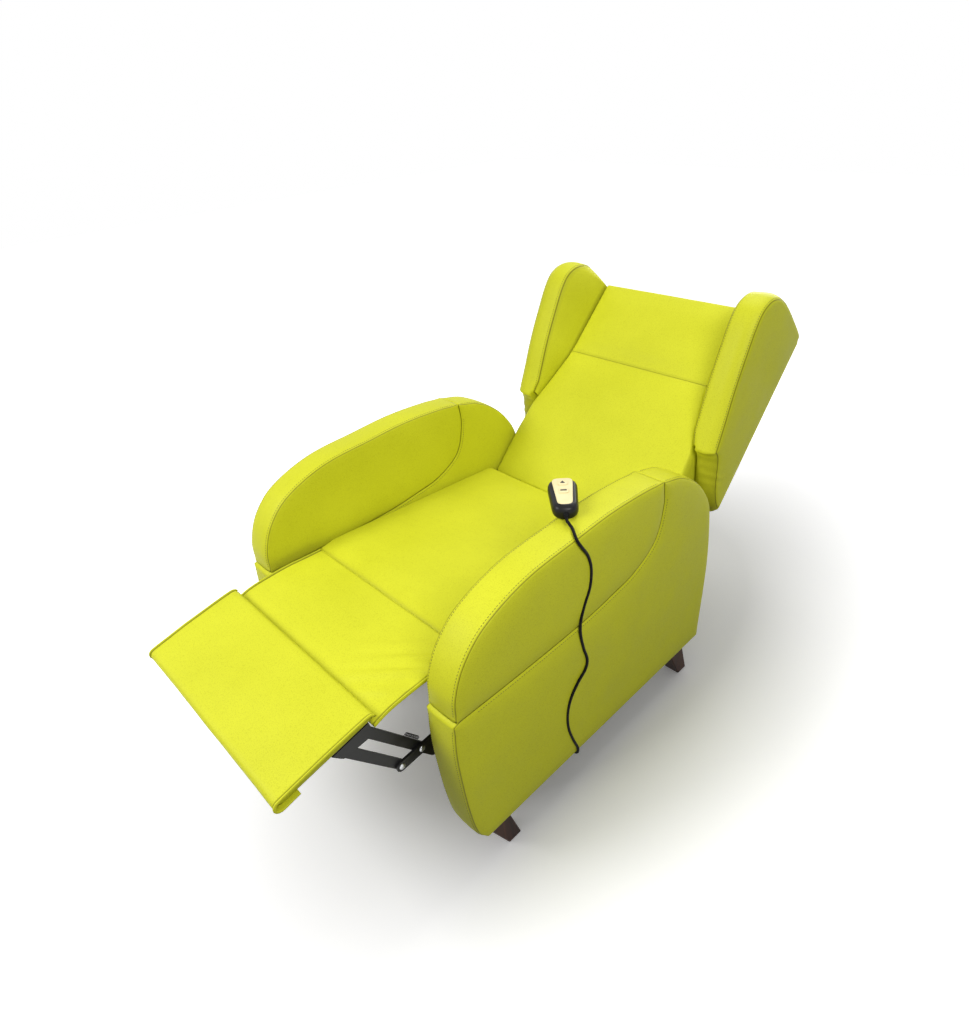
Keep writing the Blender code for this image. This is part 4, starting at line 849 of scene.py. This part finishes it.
def arm_pieces():
    leaf = even(smooth(ARM_LEAF_LINE), STEP)
    top = even(smooth(ARM_TOP_LINE), STEP)
    pad_line = chained(top, leaf)
    away = inset(pad_line, -LEAF_GAP)[len(top) - 1:]
    rear = even(smooth(ARM_REAR_LINE), STEP)
    front = even(smooth(ARM_FRONT_LINE), STEP)
    bottom = even([ARM_REAR_LINE[-1], ARM_FRONT_LINE[-1]], STEP)
    cover_line = np.concatenate([rear, bottom[1:-1], front[::-1], away[1:][::-1]])
    begin = roll_rows()[-1][0]
    inner = (EDGE_ROWS, PANEL_STEP, lambda p, d: ARM_IN + ARM_SEAM - INNER_ROLL * rolled(d + begin))
    outer = (EDGE_ROWS, PANEL_STEP, lambda p, d: ARM_OUT - ARM_SEAM + rolled(d + begin))
    ends = {"arm_pad": (1, len(top) - 2), "arm_lower_cover": (1, len(cover_line) - len(away))}
    for side_name, side in SIDES:
        for part, line, seed in (("arm_pad", pad_line, 1), ("arm_lower_cover", cover_line, 2)):
            name = f"{part}_{side_name}"
            free = np.zeros(len(line))
            free[ends[part][0]:ends[part][1]] = 1
            free = np.convolve(np.concatenate([free[-3:], free, free[:3]]), np.full(5, 0.2), "same")[3:-3]
            piece = upholster(f"{name}_upholstery", line, arm_rows(free), on_side(side), inner, outer, LEATHER)
            swell(piece, 0.0018)
            uneven(piece, 0.0007, 0.1, seed + side)
            soft(piece, "base", 0.75, name)
            seam_in, seam_out = ARM_IN + ARM_SEAM + STITCH_SIDE, ARM_OUT - ARM_SEAM - STITCH_SIDE
            if part == "arm_pad":
                lines = [on_side(side)(*top[2:-2].T, x) for x in (seam_in, seam_out)]
            else:
                lines = [on_side(side)(*path.T, x) for x in (seam_in, seam_out)
                         for path in (rear[2:-2], front[2:-2])]
                below = inset(pad_line, -LEAF_GAP - 0.0062)[len(top) + 6:-6]
                lines += [on_side(side)(*below.T, x) for x in (ARM_IN, ARM_OUT)]
            stitched(f"{name}_stitches", lines, piece, "base")


# ---------------------------------------------------------------- seat and back
def cushion_rows(base, top, roll):
    """Rows up a cushion's side: a rounded lower edge, a side that draws in a little, and a rolled upper edge."""
    rows = [(0.006, base, 0.0, 1.0), (0.0015, base + 0.004, 0.0, 1.0), (0.0, base + 0.012, 0.0, 1.0)]
    for share in (0.25, 0.5, 0.75):
        rows.append((0.0015 * math.sin(math.pi * share), base + 0.012 + (top - roll - base - 0.012) * share, 0.0, 1.0))
    for degrees in (0, 22, 44, 62):
        turn = math.radians(degrees)
        rows.append((roll * (1 - math.cos(turn)), top - roll + roll * math.sin(turn), 0.0, 1.0 - degrees / 90))
    return rows


def seat_piece():
    corner = [(-SEAT_FRONT_HALF + 0.006, 0.0), (SEAT_FRONT_HALF - 0.006, 0.0), (SEAT_FRONT_HALF, 0.006),
              (SEAT_HALF, SEAT_SHOULDER), (SEAT_HALF, SEAT_DEPTH - 0.012), (SEAT_HALF - 0.012, SEAT_DEPTH),
              (-SEAT_HALF + 0.012, SEAT_DEPTH), (-SEAT_HALF, SEAT_DEPTH - 0.012), (-SEAT_HALF, SEAT_SHOULDER),
              (-SEAT_FRONT_HALF, 0.006)]
    outline = even_loop(corner, 0.008)
    side_rows = cushion_rows(SEAT_BASE, -0.006, 0.007)
    sunk = side_rows[-1][0]
    edge = np.clip(outline[:, 1] / 0.016, 0, 1)
    rows = [(a * (0.15 + 0.85 * edge), h if h < -0.03 else h * edge + (h * 0.3 + 0.0004) * (1 - edge), 0.0, held)
            for a, h, _, held in side_rows]
    # painted shade along the seat's front edge, where it meets the flap
    rows[-1] = (*rows[-1][:2], 0.3 * (1 - edge), rows[-1][3])

    def top(points, depth):
        side = SEAT_HALF - np.abs(points[:, 0])
        rear = SEAT_DEPTH - points[:, 1]
        front = np.clip(points[:, 1] / 0.016, 0, 1)
        shape = (-0.004 + 0.004 * bow((depth + sunk) / 0.01)) * front - 0.0006 * (1 - front) ** 6
        return shape + 0.004 * bow(side / 0.2) * bow(rear / 0.15) * bow((points[:, 1] + 0.02) / 0.12)

    piece = upholster("seat_upholstery", outline, rows, on_seat, ((), 0.03, flat(SEAT_BASE)),
                      (EDGE_ROWS[:3], 0.011, top), LEATHER)
    swell(piece, 0.005, free=lambda p: np.clip((p[:, 2] - 0.4) / 0.05, 0, 1))
    uneven(piece, 0.0012, 0.13, 3)
    soft(piece, "base", 0.7, "seat_cushion")


def back_sides(low, high, step=0.008):
    """The cushions' side line, from s low to s high, on the sitter's left."""
    knots = np.array([(LUMBAR_WIDE, 0.0), (LUMBAR_WIDE, 0.14)]
                     + [(wing_foot(s) - 0.0015, s) for s in (0.228, 0.292, 0.396, 0.64)])
    levels = np.linspace(low, high, max(2, round((high - low) / step)))
    return np.stack([np.interp(levels, knots[:, 1], knots[:, 0]), levels], 1)


def back_piece(name, node, low, high, seam_at, depth, seed):
    """One of the two back cushions. Its edge at the head seam falls into a thin seam, the others are rolled."""
    side = back_sides(low, high)
    side[0, 0] -= 0.004
    side[-1, 0] -= 0.004
    across_top = even([side[-1], side[-1] * (-1, 1)], 0.008)
    across_low = even([side[0] * (-1, 1), side[0]], 0.008)
    outline = np.concatenate([side, across_top[1:-1], (side * (-1, 1))[::-1], across_low[1:-1]])
    rows = [(0.006, -0.1, 0.0, 1.0), (0.0, -0.09, 0.0, 1.0), (0.0, -0.06, 0.0, 1.0), (0.0, -0.03, 0.0, 1.0)]
    edge = np.minimum(np.abs(outline[:, 1] - seam_at) / 0.02, 1)
    for drop, draw in ((0.02, 0.0), (0.0145, 0.0006), (0.01, 0.0022)):
        near = (0.0016 + 0.2 * draw) * (1 - edge) + drop * edge
        # painted shade along the head seam
        crease = np.clip(1 - edge * 2.5, 0, 1) * (0.1 if drop < 0.012 else 0.5)
        rows.append((draw * (0.3 + 0.7 * edge), -near, crease, 1.0))

    def front(points, distance):
        to_side = np.interp(points[:, 1], side[:, 1], side[:, 0]) - np.abs(points[:, 0])
        to_seam = np.abs(points[:, 1] - seam_at)
        far_end = high if seam_at == low else low
        to_end = np.abs(points[:, 1] - far_end)
        roll = np.minimum(bow((to_side + 0.0022) / 0.03), bow((to_end + 0.0022) / 0.026))
        level = -0.0105 + 0.0105 * roll
        dip = 0.0008 * np.exp(-to_seam / 0.0022)
        crown = depth * bow(to_side / 0.2) * bow(to_seam / 0.16) * bow(to_end / 0.16)
        return np.maximum(level - dip, -0.0125) + crown

    piece = upholster(name, outline, rows, on_back, ((), 0.03, flat(-0.1)),
                      (EDGE_ROWS[:3], 0.01, front), LEATHER)
    swell(piece, 0.005)
    uneven(piece, 0.001, 0.13, seed)
    soft(piece, "back", 0.7, node)


def wing_pieces():
    front = even(smooth(WING_FRONT_LINE), 0.006)
    lower = even(smooth(WING_LOWER_LINE), 0.006)
    top = even(smooth(WING_TOP_LINE), 0.006)
    rear = even([WING_TOP_LINE[-1], REAR_BOTTOM], 0.01)
    outer = chained(front, top, rear, lower)
    below = np.minimum(outer[:, 0] - WING_INNER_BOTTOM, 0)
    inner = np.stack([outer[:, 0] - 0.98 * below, outer[:, 1]], 1)
    inner[:, 1] = np.maximum(inner[:, 1], rear_t(inner[:, 0]))
    drop = np.maximum(outer[:, 0] - WING_FOOT_TOP - 0.43 * np.maximum(outer[:, 1], 0), 0)
    inner[:, 0] -= drop
    ease = 1 - 0.6 * np.clip((outer[:, 0] - 0.6) / 0.03, 0, 1)      # flatter seam over the top
    count = len(outer)
    # painted shade on the front strip's lower end, below the wing's end, where it faces down
    shade = 0.38 * np.clip((0.2368 - outer[:, 0]) / 0.004, 0, 1) * (outer[:, 1] > rear_t(outer[:, 0]) + 0.01)

    def lowered(share):
        return outer - np.stack([drop * share, np.zeros(count)], 1)

    for side_name, side in SIDES:
        net = Net()
        rings = []

        def add(x, shape, crease=0.0, held=0.0):
            x = np.broadcast_to(x, count)
            rings.append(net.ring(on_back(side * x, *shape.T), crease, held))

        foot_x = wing_foot(inner[:, 0])
        foot = np.stack([np.minimum(inner[:, 0], WING_FOOT_TOP), np.minimum(inner[:, 1], WING_FOOT_T)], 1)
        foot[:, 0] -= 0.02 * np.clip(0.01 - inner[:, 1], 0, 0.022) * (inner[:, 0] < WING_INNER_BOTTOM + 0.0005)
        corner = np.where((inner[:, 0] > WING_FOOT_TOP - 1e-6) & (inner[:, 1] > WING_FOOT_T))[0]
        foot[corner, 1] = np.linspace(WING_FOOT_T, inner[corner[-1] + 1, 1], len(corner) + 2)[1:-1]
        rim = inset(inner, 0.0066 * ease)
        rim_x = np.maximum(WING_OUTER - 0.0665, foot_x + 0.003)
        for share in (0.0, 0.15, 0.35, 0.55, 0.75, 0.9):
            puff = 0.004 * math.sin(math.pi * share) ** 0.8
            x = foot_x * (1 - share) + rim_x * share - puff
            add(x, foot * (1 - share) + rim * share + np.array([0, 0.3 * puff]), 0.5 if share == 0 else 0.0,
                1.0 if share in (0.0, 0.9) else 0.2)
        add(rim_x - 0.0006, inset(inner, 0.0058 * ease), 0.25, 1.0)
        seam_x = np.maximum(rim_x + 0.0006, WING_OUTER - 0.0659)
        for out, inward, crease in ((0.0, 0.005, 1.0), (0.001, 0.0034, 0.45), (0.0032, 0.0014, 0.0)):
            add(seam_x + out, inset(inner, inward * ease), crease, 1.0)
        add(np.maximum(seam_x + 0.0062, WING_STRIP_LOW - 0.0014), inset(inner, -0.0002), 0.0, 1.0)
        add(np.maximum(seam_x + 0.0078, WING_STRIP_LOW + 0.0008), inset(lowered(1), -0.0008), 0.0, 1.0)
        for x, inward, crease in WING_STRIP_ROWS:
            share = max(0.0, 1 - (x - WING_STRIP_LOW) / (WING_STRIP_HIGH - WING_STRIP_LOW))
            add(x, inset(lowered(share**1.5), inward), np.maximum(crease, shade), 0.7)
        for inward, height, crease, held in WING_SEAM_ROWS:
            shape = inset(outer, WING_SEAM_INSET + inward)
            add(WING_SEAM + height, shape, crease, held)
        net.bands(rings)
        points, triangles = filled(shape, EDGE_ROWS, PANEL_STEP)
        depth = distance_to(points, shape)
        across = side * (WING_SEAM + height + 0.0012 * bow(depth / 0.016))
        net.fill(rings[-1] + net.ring(on_back(across, *points.T), 0.0, 0.7 * np.exp(-depth / 0.006)), triangles)
        points, triangles = filled(foot, (), 0.02)
        net.fill(rings[0] + net.ring(on_back(side * wing_foot(points[:, 0]), *points.T), 0.0, 1.0), triangles)
        name = f"wing_{side_name}"
        piece = net.piece(f"{name}_upholstery", LEATHER)
        swell(piece, 0.003, free=lambda p: 1.0 * (np.abs(p[:, 0]) > 0.255))
        uneven(piece, 0.0007, 0.09, 6 + side)
        own, square = points_of(piece), normals_of(piece)
        along = np.stack([own[:, 1] - SHIFT - BACK_FOOT[0], own[:, 2] - BACK_FOOT[1]], 1) @ BACK_AXES
        low_end = np.exp(-((along[:, 0] - 0.205) / 0.024) ** 2) * np.clip((along[:, 1] + 0.12) / 0.05, 0, 1)
        creases = np.sin((along[:, 0] + 0.35 * along[:, 1]) / 0.0036) * (np.abs(own[:, 0]) > 0.272)
        set_points(piece, own + square * (0.0011 * creases * low_end)[:, None])
        soft(piece, "back", 0.75, name)
        path = np.concatenate([front, top[1:-1]])[3:]
        edge = inset(outer, 0.0056)[3:len(path) + 3]
        lines = [on_back(side * (WING_OUTER - 0.061), *front[3:-5].T),
                 on_back(side * (WING_OUTER - 0.0036), *edge.T)]
        stitched(f"{name}_stitches", lines, piece, "back")


def rear_piece():
    wide, narrow = WING_OUTER - 0.002, LUMBAR_WIDE - 0.008
    top = REAR_TOP[0]
    side = np.array([(narrow, 0.02), (narrow, 0.132), (wide, 0.152), (wide, top - 0.022), (wide - 0.003, top - 0.012),
                     (wide - 0.01, top - 0.006), (wide - 0.02, top - 0.004)])
    corner = np.concatenate([side, (side * (-1, 1))[::-1]])
    outline = even_loop(corner, 0.01)

    def place(x, s, h):
        return on_back(x, s, rear_t(s) - GAP - h)

    rows = [(0.0, 0.0, 0.0, 1.0), (0.0, 0.002, 0.3, 1.0), (0.0012, 0.0042, 0.0, 0.8), (0.004, 0.0058, 0.0, 0.6)]
    piece = upholster("rear_cover_upholstery", outline, rows, place, ((), 0.03, flat(0.0)),
                      (EDGE_ROWS, 0.013, lambda p, d: 0.0058 + 0.0035 * bow(d / 0.06)), LEATHER)
    swell(piece, 0.004, voxel=0.007)
    uneven(piece, 0.0009, 0.12, 9)
    soft(piece, "back", 0.5, "rear_cover")
    edge = inset(outline, 0.011)
    stitched("rear_cover_stitches", [place(*np.concatenate([edge, edge[:1]]).T, 0.007)], piece, "back")


def top_strip():
    """The leatherette over the back board's upper edge, between the head cushion and the rear cover."""
    level = HEAD_TOP - 0.0095
    half, front, rear = wing_foot(level) - 0.001, -0.0975, rear_t(level) - 0.001
    outline = even_loop([(-half, rear), (half, rear), (half, front), (-half, front)], 0.008)
    rows = [(0.0, 0.0, 0.0, 1.0), (0.0, 0.0016, 0.0, 1.0), (0.0012, 0.003, 0.0, 0.6)]
    piece = upholster("back_top_upholstery", outline, rows, lambda x, t, h: on_back(x, level + h, t),
                      ((), 0.02, flat(0.0)),
                      (EDGE_ROWS[:2], 0.008, lambda p, d: 0.0034 + 0.0014 * bow(d / 0.012)), LEATHER)
    uneven(piece, 0.0006, 0.09, 14)
    soft(piece, "back", 0.3)


GUSSET_LINE = [(0.3034, 0.4262), (0.3045, 0.415), (0.3085, 0.405), (0.316, 0.3995), (0.3245, 0.3965),
               (0.3325, 0.3925)]


def gusset():
    """The cover's loose strip that closes the gap between seat and back, below the seat's top."""
    line = even(smooth(GUSSET_LINE), 0.004)
    half = 0.258
    piece = skin("seat_back_gusset", line, half, 0.0014)
    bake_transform(piece)


# ---------------------------------------------------------------- legrest
def footrest_axes():
    """The footrest's directions along and out of it in the side view, and its length."""
    along = np.array(FOOTREST_FRONT) - np.array(FOOTREST_REAR)
    length = np.linalg.norm(along)
    along /= length
    return along, np.array([along[1], -along[0]]), length


def footrest_profile(nose):
    """The wrapped sheet's side line: over the top from the rear edge, round the front and back underneath."""
    along, out, length = footrest_axes()
    rear = np.array(FOOTREST_REAR)
    points = []
    for turn in np.linspace(165, 96, 7):
        centre = rear + along * 0.012 - out * 0.012
        a = math.radians(turn)
        points.append(centre + 0.012 * (along * math.cos(a) + out * math.sin(a)))
    for share in np.linspace(0.09, 1.0, 26):
        crest = 0.0022 * math.sin(math.pi * share)
        points.append(rear + along * length * share + out * crest)
    for turn in np.linspace(80, -90, 12):
        a = math.radians(turn)
        centre = rear + along * length - out * nose
        points.append(centre + nose * (along * math.cos(a) + out * math.sin(a)))
    for back_by in (0.012, 0.024, 0.032):
        points.append(rear + along * (length - back_by) - out * 2 * nose)
    return np.array(points)


HEM_ROWS = np.array([0.0004, 0.001, 0.0018, 0.0028, 0.004, 0.005, 0.006, 0.008, 0.013])  # from a side edge


def skin(name, line, half, thickness, shape=None):
    """A thick sheet along a (y, z) line, with hemmed side edges. shape moves its upper side by (x, share along)."""
    along = np.gradient(line, axis=0)
    along /= np.linalg.norm(along, axis=1)[:, None]
    square = np.stack([along[:, 1], -along[:, 0]], 1)
    net = Net()
    xs = np.concatenate([[-half], HEM_ROWS - half, np.linspace(-half + 0.02, half - 0.02, 72), half - HEM_ROWS[::-1],
                         [half]])
    edge = half - np.abs(xs)
    # the hem's groove sinks the surface and darkens it with painted shade
    groove = np.exp(-((edge - 0.005) / 0.0014) ** 2)
    hem = np.where(edge < 0.0038, 0.002 * bow(edge / 0.0016), 0.0) - 0.0018 * groove
    share = np.linspace(0, 1, len(line))
    upper, lower = [], []
    for i, x in enumerate(xs):
        lift = shape(x, share) if shape else np.zeros(len(line))
        round_off = thickness * 0.35 * (1 - bow(edge[i] / 0.0015))
        top = line + square * (hem[i] - round_off + lift)[:, None]
        low = line - square * (thickness - round_off - np.minimum(lift, 0))[:, None]
        upper.append(net.ring(on_side(1)(*top.T, x), groove[i], 0.0))
        lower.append(net.ring(on_side(1)(*low.T, x), 0.0, 1.0))
    for rows in (upper, lower, (upper[0], lower[0]), (upper[-1], lower[-1])):
        net.bands(rows, closed=False)
    for k in (0, -1):
        net.band([row[k] for row in upper], [row[k] for row in lower], closed=False)
    return net.piece(name, LEATHER)


def flap_folds(x, share):
    """Slanting soft folds on the sitter's left half of the flap, and a dip at its front end."""
    lift = np.zeros(len(share))
    away = LEG_HALF - x
    for start, lean, width, height, reach in ((0.12, 4.4, 0.06, 0.0085, 0.19), (0.36, 4.1, 0.05, 0.0095, 0.2),
                                              (0.62, 3.6, 0.045, 0.006, 0.16), (-0.16, 4.8, 0.07, 0.006, 0.22)):
        middle = start + lean * away
        fade = np.clip(1.25 * (1 - away / reach), 0, 1) * np.clip(away / 0.03, 0.1, 1)
        lift = lift + height * fade * np.exp(-np.abs((share - middle) / width) ** 1.5)
    return lift * np.sin(np.clip(share, 0, 1) * math.pi) ** 0.4 - 0.0095 * np.clip((share - 0.74) / 0.26, 0, 1) ** 2


def legrest_pieces():
    flap = skin("flap_upholstery", even(smooth(FLAP_LINE, 12), 0.005), LEG_HALF, 0.0055, flap_folds)
    uneven(flap, 0.0007, 0.07, 11)
    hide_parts("legrest_flap")
    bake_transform(flap)
    sheet = skin("footrest_top_upholstery", even(footrest_profile(0.0115), 0.005), LEG_HALF, 0.003)
    uneven(sheet, 0.0008, 0.1, 12)
    soft(sheet, "footrest", 0.3)
    along, out, length = footrest_axes()
    rear = np.array(FOOTREST_REAR)
    core = [(0.006, -0.0032), (length - 0.002, -0.0032), (length + 0.005, -0.0075), (length + 0.005, -0.015),
            (length - 0.002, -0.0202), (0.004, -0.0202), (0.001, -0.012)]
    outline = even_loop(core, 0.006)
    half = LEG_HALF - 0.0075

    def place(a, d, x):
        point = rear + np.asarray(a)[:, None] * along + np.asarray(d)[:, None] * out
        return np.stack([np.broadcast_to(x, len(point)), point[:, 0] + SHIFT, point[:, 1]], 1)

    # painted shade at the pad's side edges, under the top sheet's overhang
    rows = [(0.0045, -half, 0.15, 0.0), (0.0012, -half + 0.0015, 0.6, 0.0), (0.0, -half + 0.005, 1.0, 0.0)]
    rows += [(0.0, x, 0.0, 0.0) for x in np.linspace(-0.22, 0.22, 23)]
    rows += [(a, -x, c, h) for a, x, c, h in rows[:3][::-1]]
    ends = [((), 0.006, flat(x)) for x in (-half - 0.0006, half + 0.0006)]
    pad = upholster("footrest_upholstery", outline, rows, place, *ends, LEATHER)
    soft(pad, "footrest", 0.5, "footrest_pad")
    low, high = -FOOTREST_THICKNESS - GAP, -FOOTREST_THICKNESS - GAP - 0.012
    plan = oblong(LEG_HALF - 0.015, 0.006, length - 0.006, 0.012, 6, 0.012)
    rows = [(0.0, low, 0.0, 1.0), (0.0006, low - 0.003, 0.0, 1.0), (0.0115, high + 0.0006, 0.0, 1.0),
            (0.0125, high, 0.0, 1.0)]
    board = upholster("footrest_board_shaped", plan, rows, lambda x, a, d: place(a, d, x), ((), 0.03, flat(low)),
                      ((), 0.03, flat(high)), PLYWOOD)
    board.data.shade_flat()
    dress(board, "footrest", "plywood", "footrest_board")


# ---------------------------------------------------------------- handset and cord
def handset_matrix():
    """From the handset's own frame, with its length along y, to the chair's."""
    place = Matrix.Translation(Vector(HANDSET_PLACE) + Vector((0, SHIFT, 0)))
    for degrees, axis in ((HANDSET_YAW, "Z"), (HANDSET_TILT, "X")):
        place = place @ Matrix.Rotation(math.radians(degrees), 4, axis)
    return place


def moulding(name, outline, rows, place, material, top):
    """A small moulded piece over an outline: rows are (inset, height)."""
    def put(x, y, z):
        x, y, z = np.broadcast_arrays(x, y, z)
        return np.array([place @ Vector(p) for p in zip(x, y, z)]).reshape(-1, 3)
    levels = [(distance, height, 0.0, 1.0) for distance, height in rows]
    return upholster(name, outline, levels, put, ((), 0.004, flat(rows[0][1])),
                     ((0.0015,), 0.003, top), material)


def handset_pieces():
    place = handset_matrix()
    half = HANDSET_LENGTH / 2
    near, far = (width / 2 for width in HANDSET_WIDTHS)
    line = rounded([(-near, -half), (near, -half), (far, half), (-far, half)], 0.024, 14)
    high = HANDSET_HEIGHT
    rows = [(0.007, 0.0006), (0.0035, 0.0014), (0.0012, 0.0045), (0.0, 0.009), (0.0, 0.014), (0.0006, 0.019),
            (0.0022, 0.0232), (0.0048, 0.0258), (0.0075, 0.0268)]

    def shell_top(points, depth):
        dome = np.clip((-half + 0.03 - points[:, 1]) / 0.022, 0, 1)
        rise = 0.0022 * bow(depth / 0.008) * np.sin(dome * math.pi / 2) ** 2
        return high - 0.0002 + 0.0003 * bow(depth / 0.01) + rise

    shell = moulding("handset_body", line, rows, place, BLACK_PLASTIC, shell_top)
    dress(shell, "base", "black_plastic", "handset_shell")
    plate_line = rounded([(-near + 0.01, -half + 0.012), (near - 0.01, -half + 0.012), (far - 0.0095, half - 0.0035),
                          (-far + 0.0095, half - 0.0035)], 0.0135, 12, 0.0016)
    level = high + 0.0012
    rows = [(0.0, high - 0.0015), (0.0, level - 0.0003), (0.0005, level + 0.0004), (0.0014, level + 0.0007)]
    plate = moulding("handset_plate", plate_line, rows, place, CREAM, flat(level + 0.0008))
    dress(plate, "base", "cream_plastic", "handset_faceplate")
    for name, y, body in (("handset_button_up", 0.031, "button_up"), ("handset_button_down", 0.004, "button_down")):
        pad_line = oblong(0.01, y - 0.008, y + 0.008, 0.006, 8, 0.0016)
        rows = [(0.0, level + 0.0004), (0.0, level + 0.0019), (0.0004, level + 0.0023), (0.0012, level + 0.0025)]
        pad = moulding(f"{name}_pad", pad_line, rows, place, CREAM,
                       lambda points, depth: level + 0.0025 + 0.0003 * bow(depth / 0.006))
        dress(pad, body, "cream_plastic", name)
        if body == "button_up":
            mark_line = rounded([(-0.0052, y - 0.003), (0.0052, y - 0.003), (0, y + 0.0056)], 0.0012, 4, 0.0008)
        else:
            mark_line = oblong(0.0062, y - 0.002, y + 0.0026, 0.0012, 4, 0.0008)
        rows = [(0.0, level + 0.0022), (0.0, level + 0.0029), (0.0003, level + 0.0031)]
        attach(moulding(f"{name}_mark", mark_line, rows, place, MARK, flat(level + 0.0031)), body)
    start = -half - GAP
    profile = [(0.0, 0.0062)]
    for k in range(5):
        low = RELIEF_LENGTH * k / 5
        size = 0.006 - 0.0018 * k / 5
        profile += [(low + 0.0002, size), (low + 0.0014, size), (low + 0.0016, size - 0.0009),
                    (low + 0.0019, size - 0.0009)]
    profile.append((RELIEF_LENGTH, 0.0036))
    turn = place @ Matrix.Translation((0, start, 0.5 * high)) @ Matrix.Rotation(math.radians(90), 4, "X")
    relief = turned("handset_relief", profile, turn, RUBBER, 20)
    dress(relief, "base", "black_plastic", "handset_strain_relief")
    return relief


def cord_piece(relief):
    place = handset_matrix()
    shift = np.array([0, SHIFT, 0])
    end = -HANDSET_LENGTH / 2 - GAP - RELIEF_LENGTH - GAP
    first = np.array(place @ Vector((0, end, HANDSET_HEIGHT / 2)))
    beyond = np.array(place @ Vector((0, end - 0.008, HANDSET_HEIGHT / 2)))
    gland = on_seat(*GLAND_PLACE)
    below = on_seat(*(np.array(GLAND_PLACE) - (0, 0, 4 * CORD_RADIUS)))
    route = [beyond] + [np.array(point) + shift for point in CORD_POINTS] + [below]
    points = np.concatenate([[first], even(smooth(route, 8), CORD_STEP), [gland]])
    piece = tube("handset_lead", points, CORD_RADIUS, 4, RUBBER)
    dress(piece, "base", "black_plastic", "handset_cord")


# ---------------------------------------------------------------- small metal pieces
def rivets():
    """Domed rivet heads on the linkage's pins."""
    profile = [(-0.001, 0.0068), (0.0004, 0.0068), (0.0012, 0.0062), (0.002, 0.0046), (0.0024, 0.0022),
               (0.0024, 0.0004)]
    for side_name, side in SIDES:
        turn = Matrix.Rotation(math.radians(90 * side), 4, "Y")
        for name, (y, z) in (("front", FRONT_PIVOT), ("rear", REAR_PIVOT)):
            place = Matrix.Translation((side * SWING_FACE, y + SHIFT, z)) @ turn
            dress(turned(f"rivet_{name}_{side_name}", profile, place, STEEL, 20), "drive_shaft", "bright_steel")


def springs():
    """A small tension spring on the upper edge of each rear link, hooked over it at both ends."""
    along = np.array(LINK_VECTOR) / np.linalg.norm(LINK_VECTOR)
    rise = np.array([along[1], -along[0]])
    whole = 2 * math.pi * SPRING_TURNS
    for side_name, side in SIDES:
        path = []

        def point(distance, height, across):
            y, z = np.array(REAR_PIVOT) + along * distance + rise * height
            path.append((side * (SPRING_MIDDLE + across), y + SHIFT, z))

        for height in (0.0075, 0.0105, 0.014):
            point(SPRING_SPAN[0], height, 0.0)
        for turn in np.linspace(0, whole, SPRING_TURNS * 12 + 1):
            distance = np.interp(turn, (0, whole), (SPRING_SPAN[0] + 0.003, SPRING_SPAN[1] - 0.003))
            point(distance, 0.0145 + SPRING_RADIUS * math.sin(turn), SPRING_RADIUS * math.cos(turn))
        for height in (0.014, 0.0105, 0.0075):
            point(SPRING_SPAN[1], height, 0.0)
        dress(tube(f"spring_{side_name}", path, SPRING_WIRE, 2, BLACK_STEEL), "rear_links", "black_steel")


set_scene()
cord_piece(handset_pieces())
arm_pieces()
seat_piece()
back_piece("lumbar_upholstery", "lumbar_cushion", 0.0, HEAD_SEAM, HEAD_SEAM, 0.004, 4)
back_piece("head_upholstery", "head_cushion", HEAD_SEAM + 0.0006, HEAD_TOP, HEAD_SEAM + 0.0006, 0.006, 5)
wing_pieces()
rear_piece()
top_strip()
gusset()
legrest_pieces()
rivets()
springs()
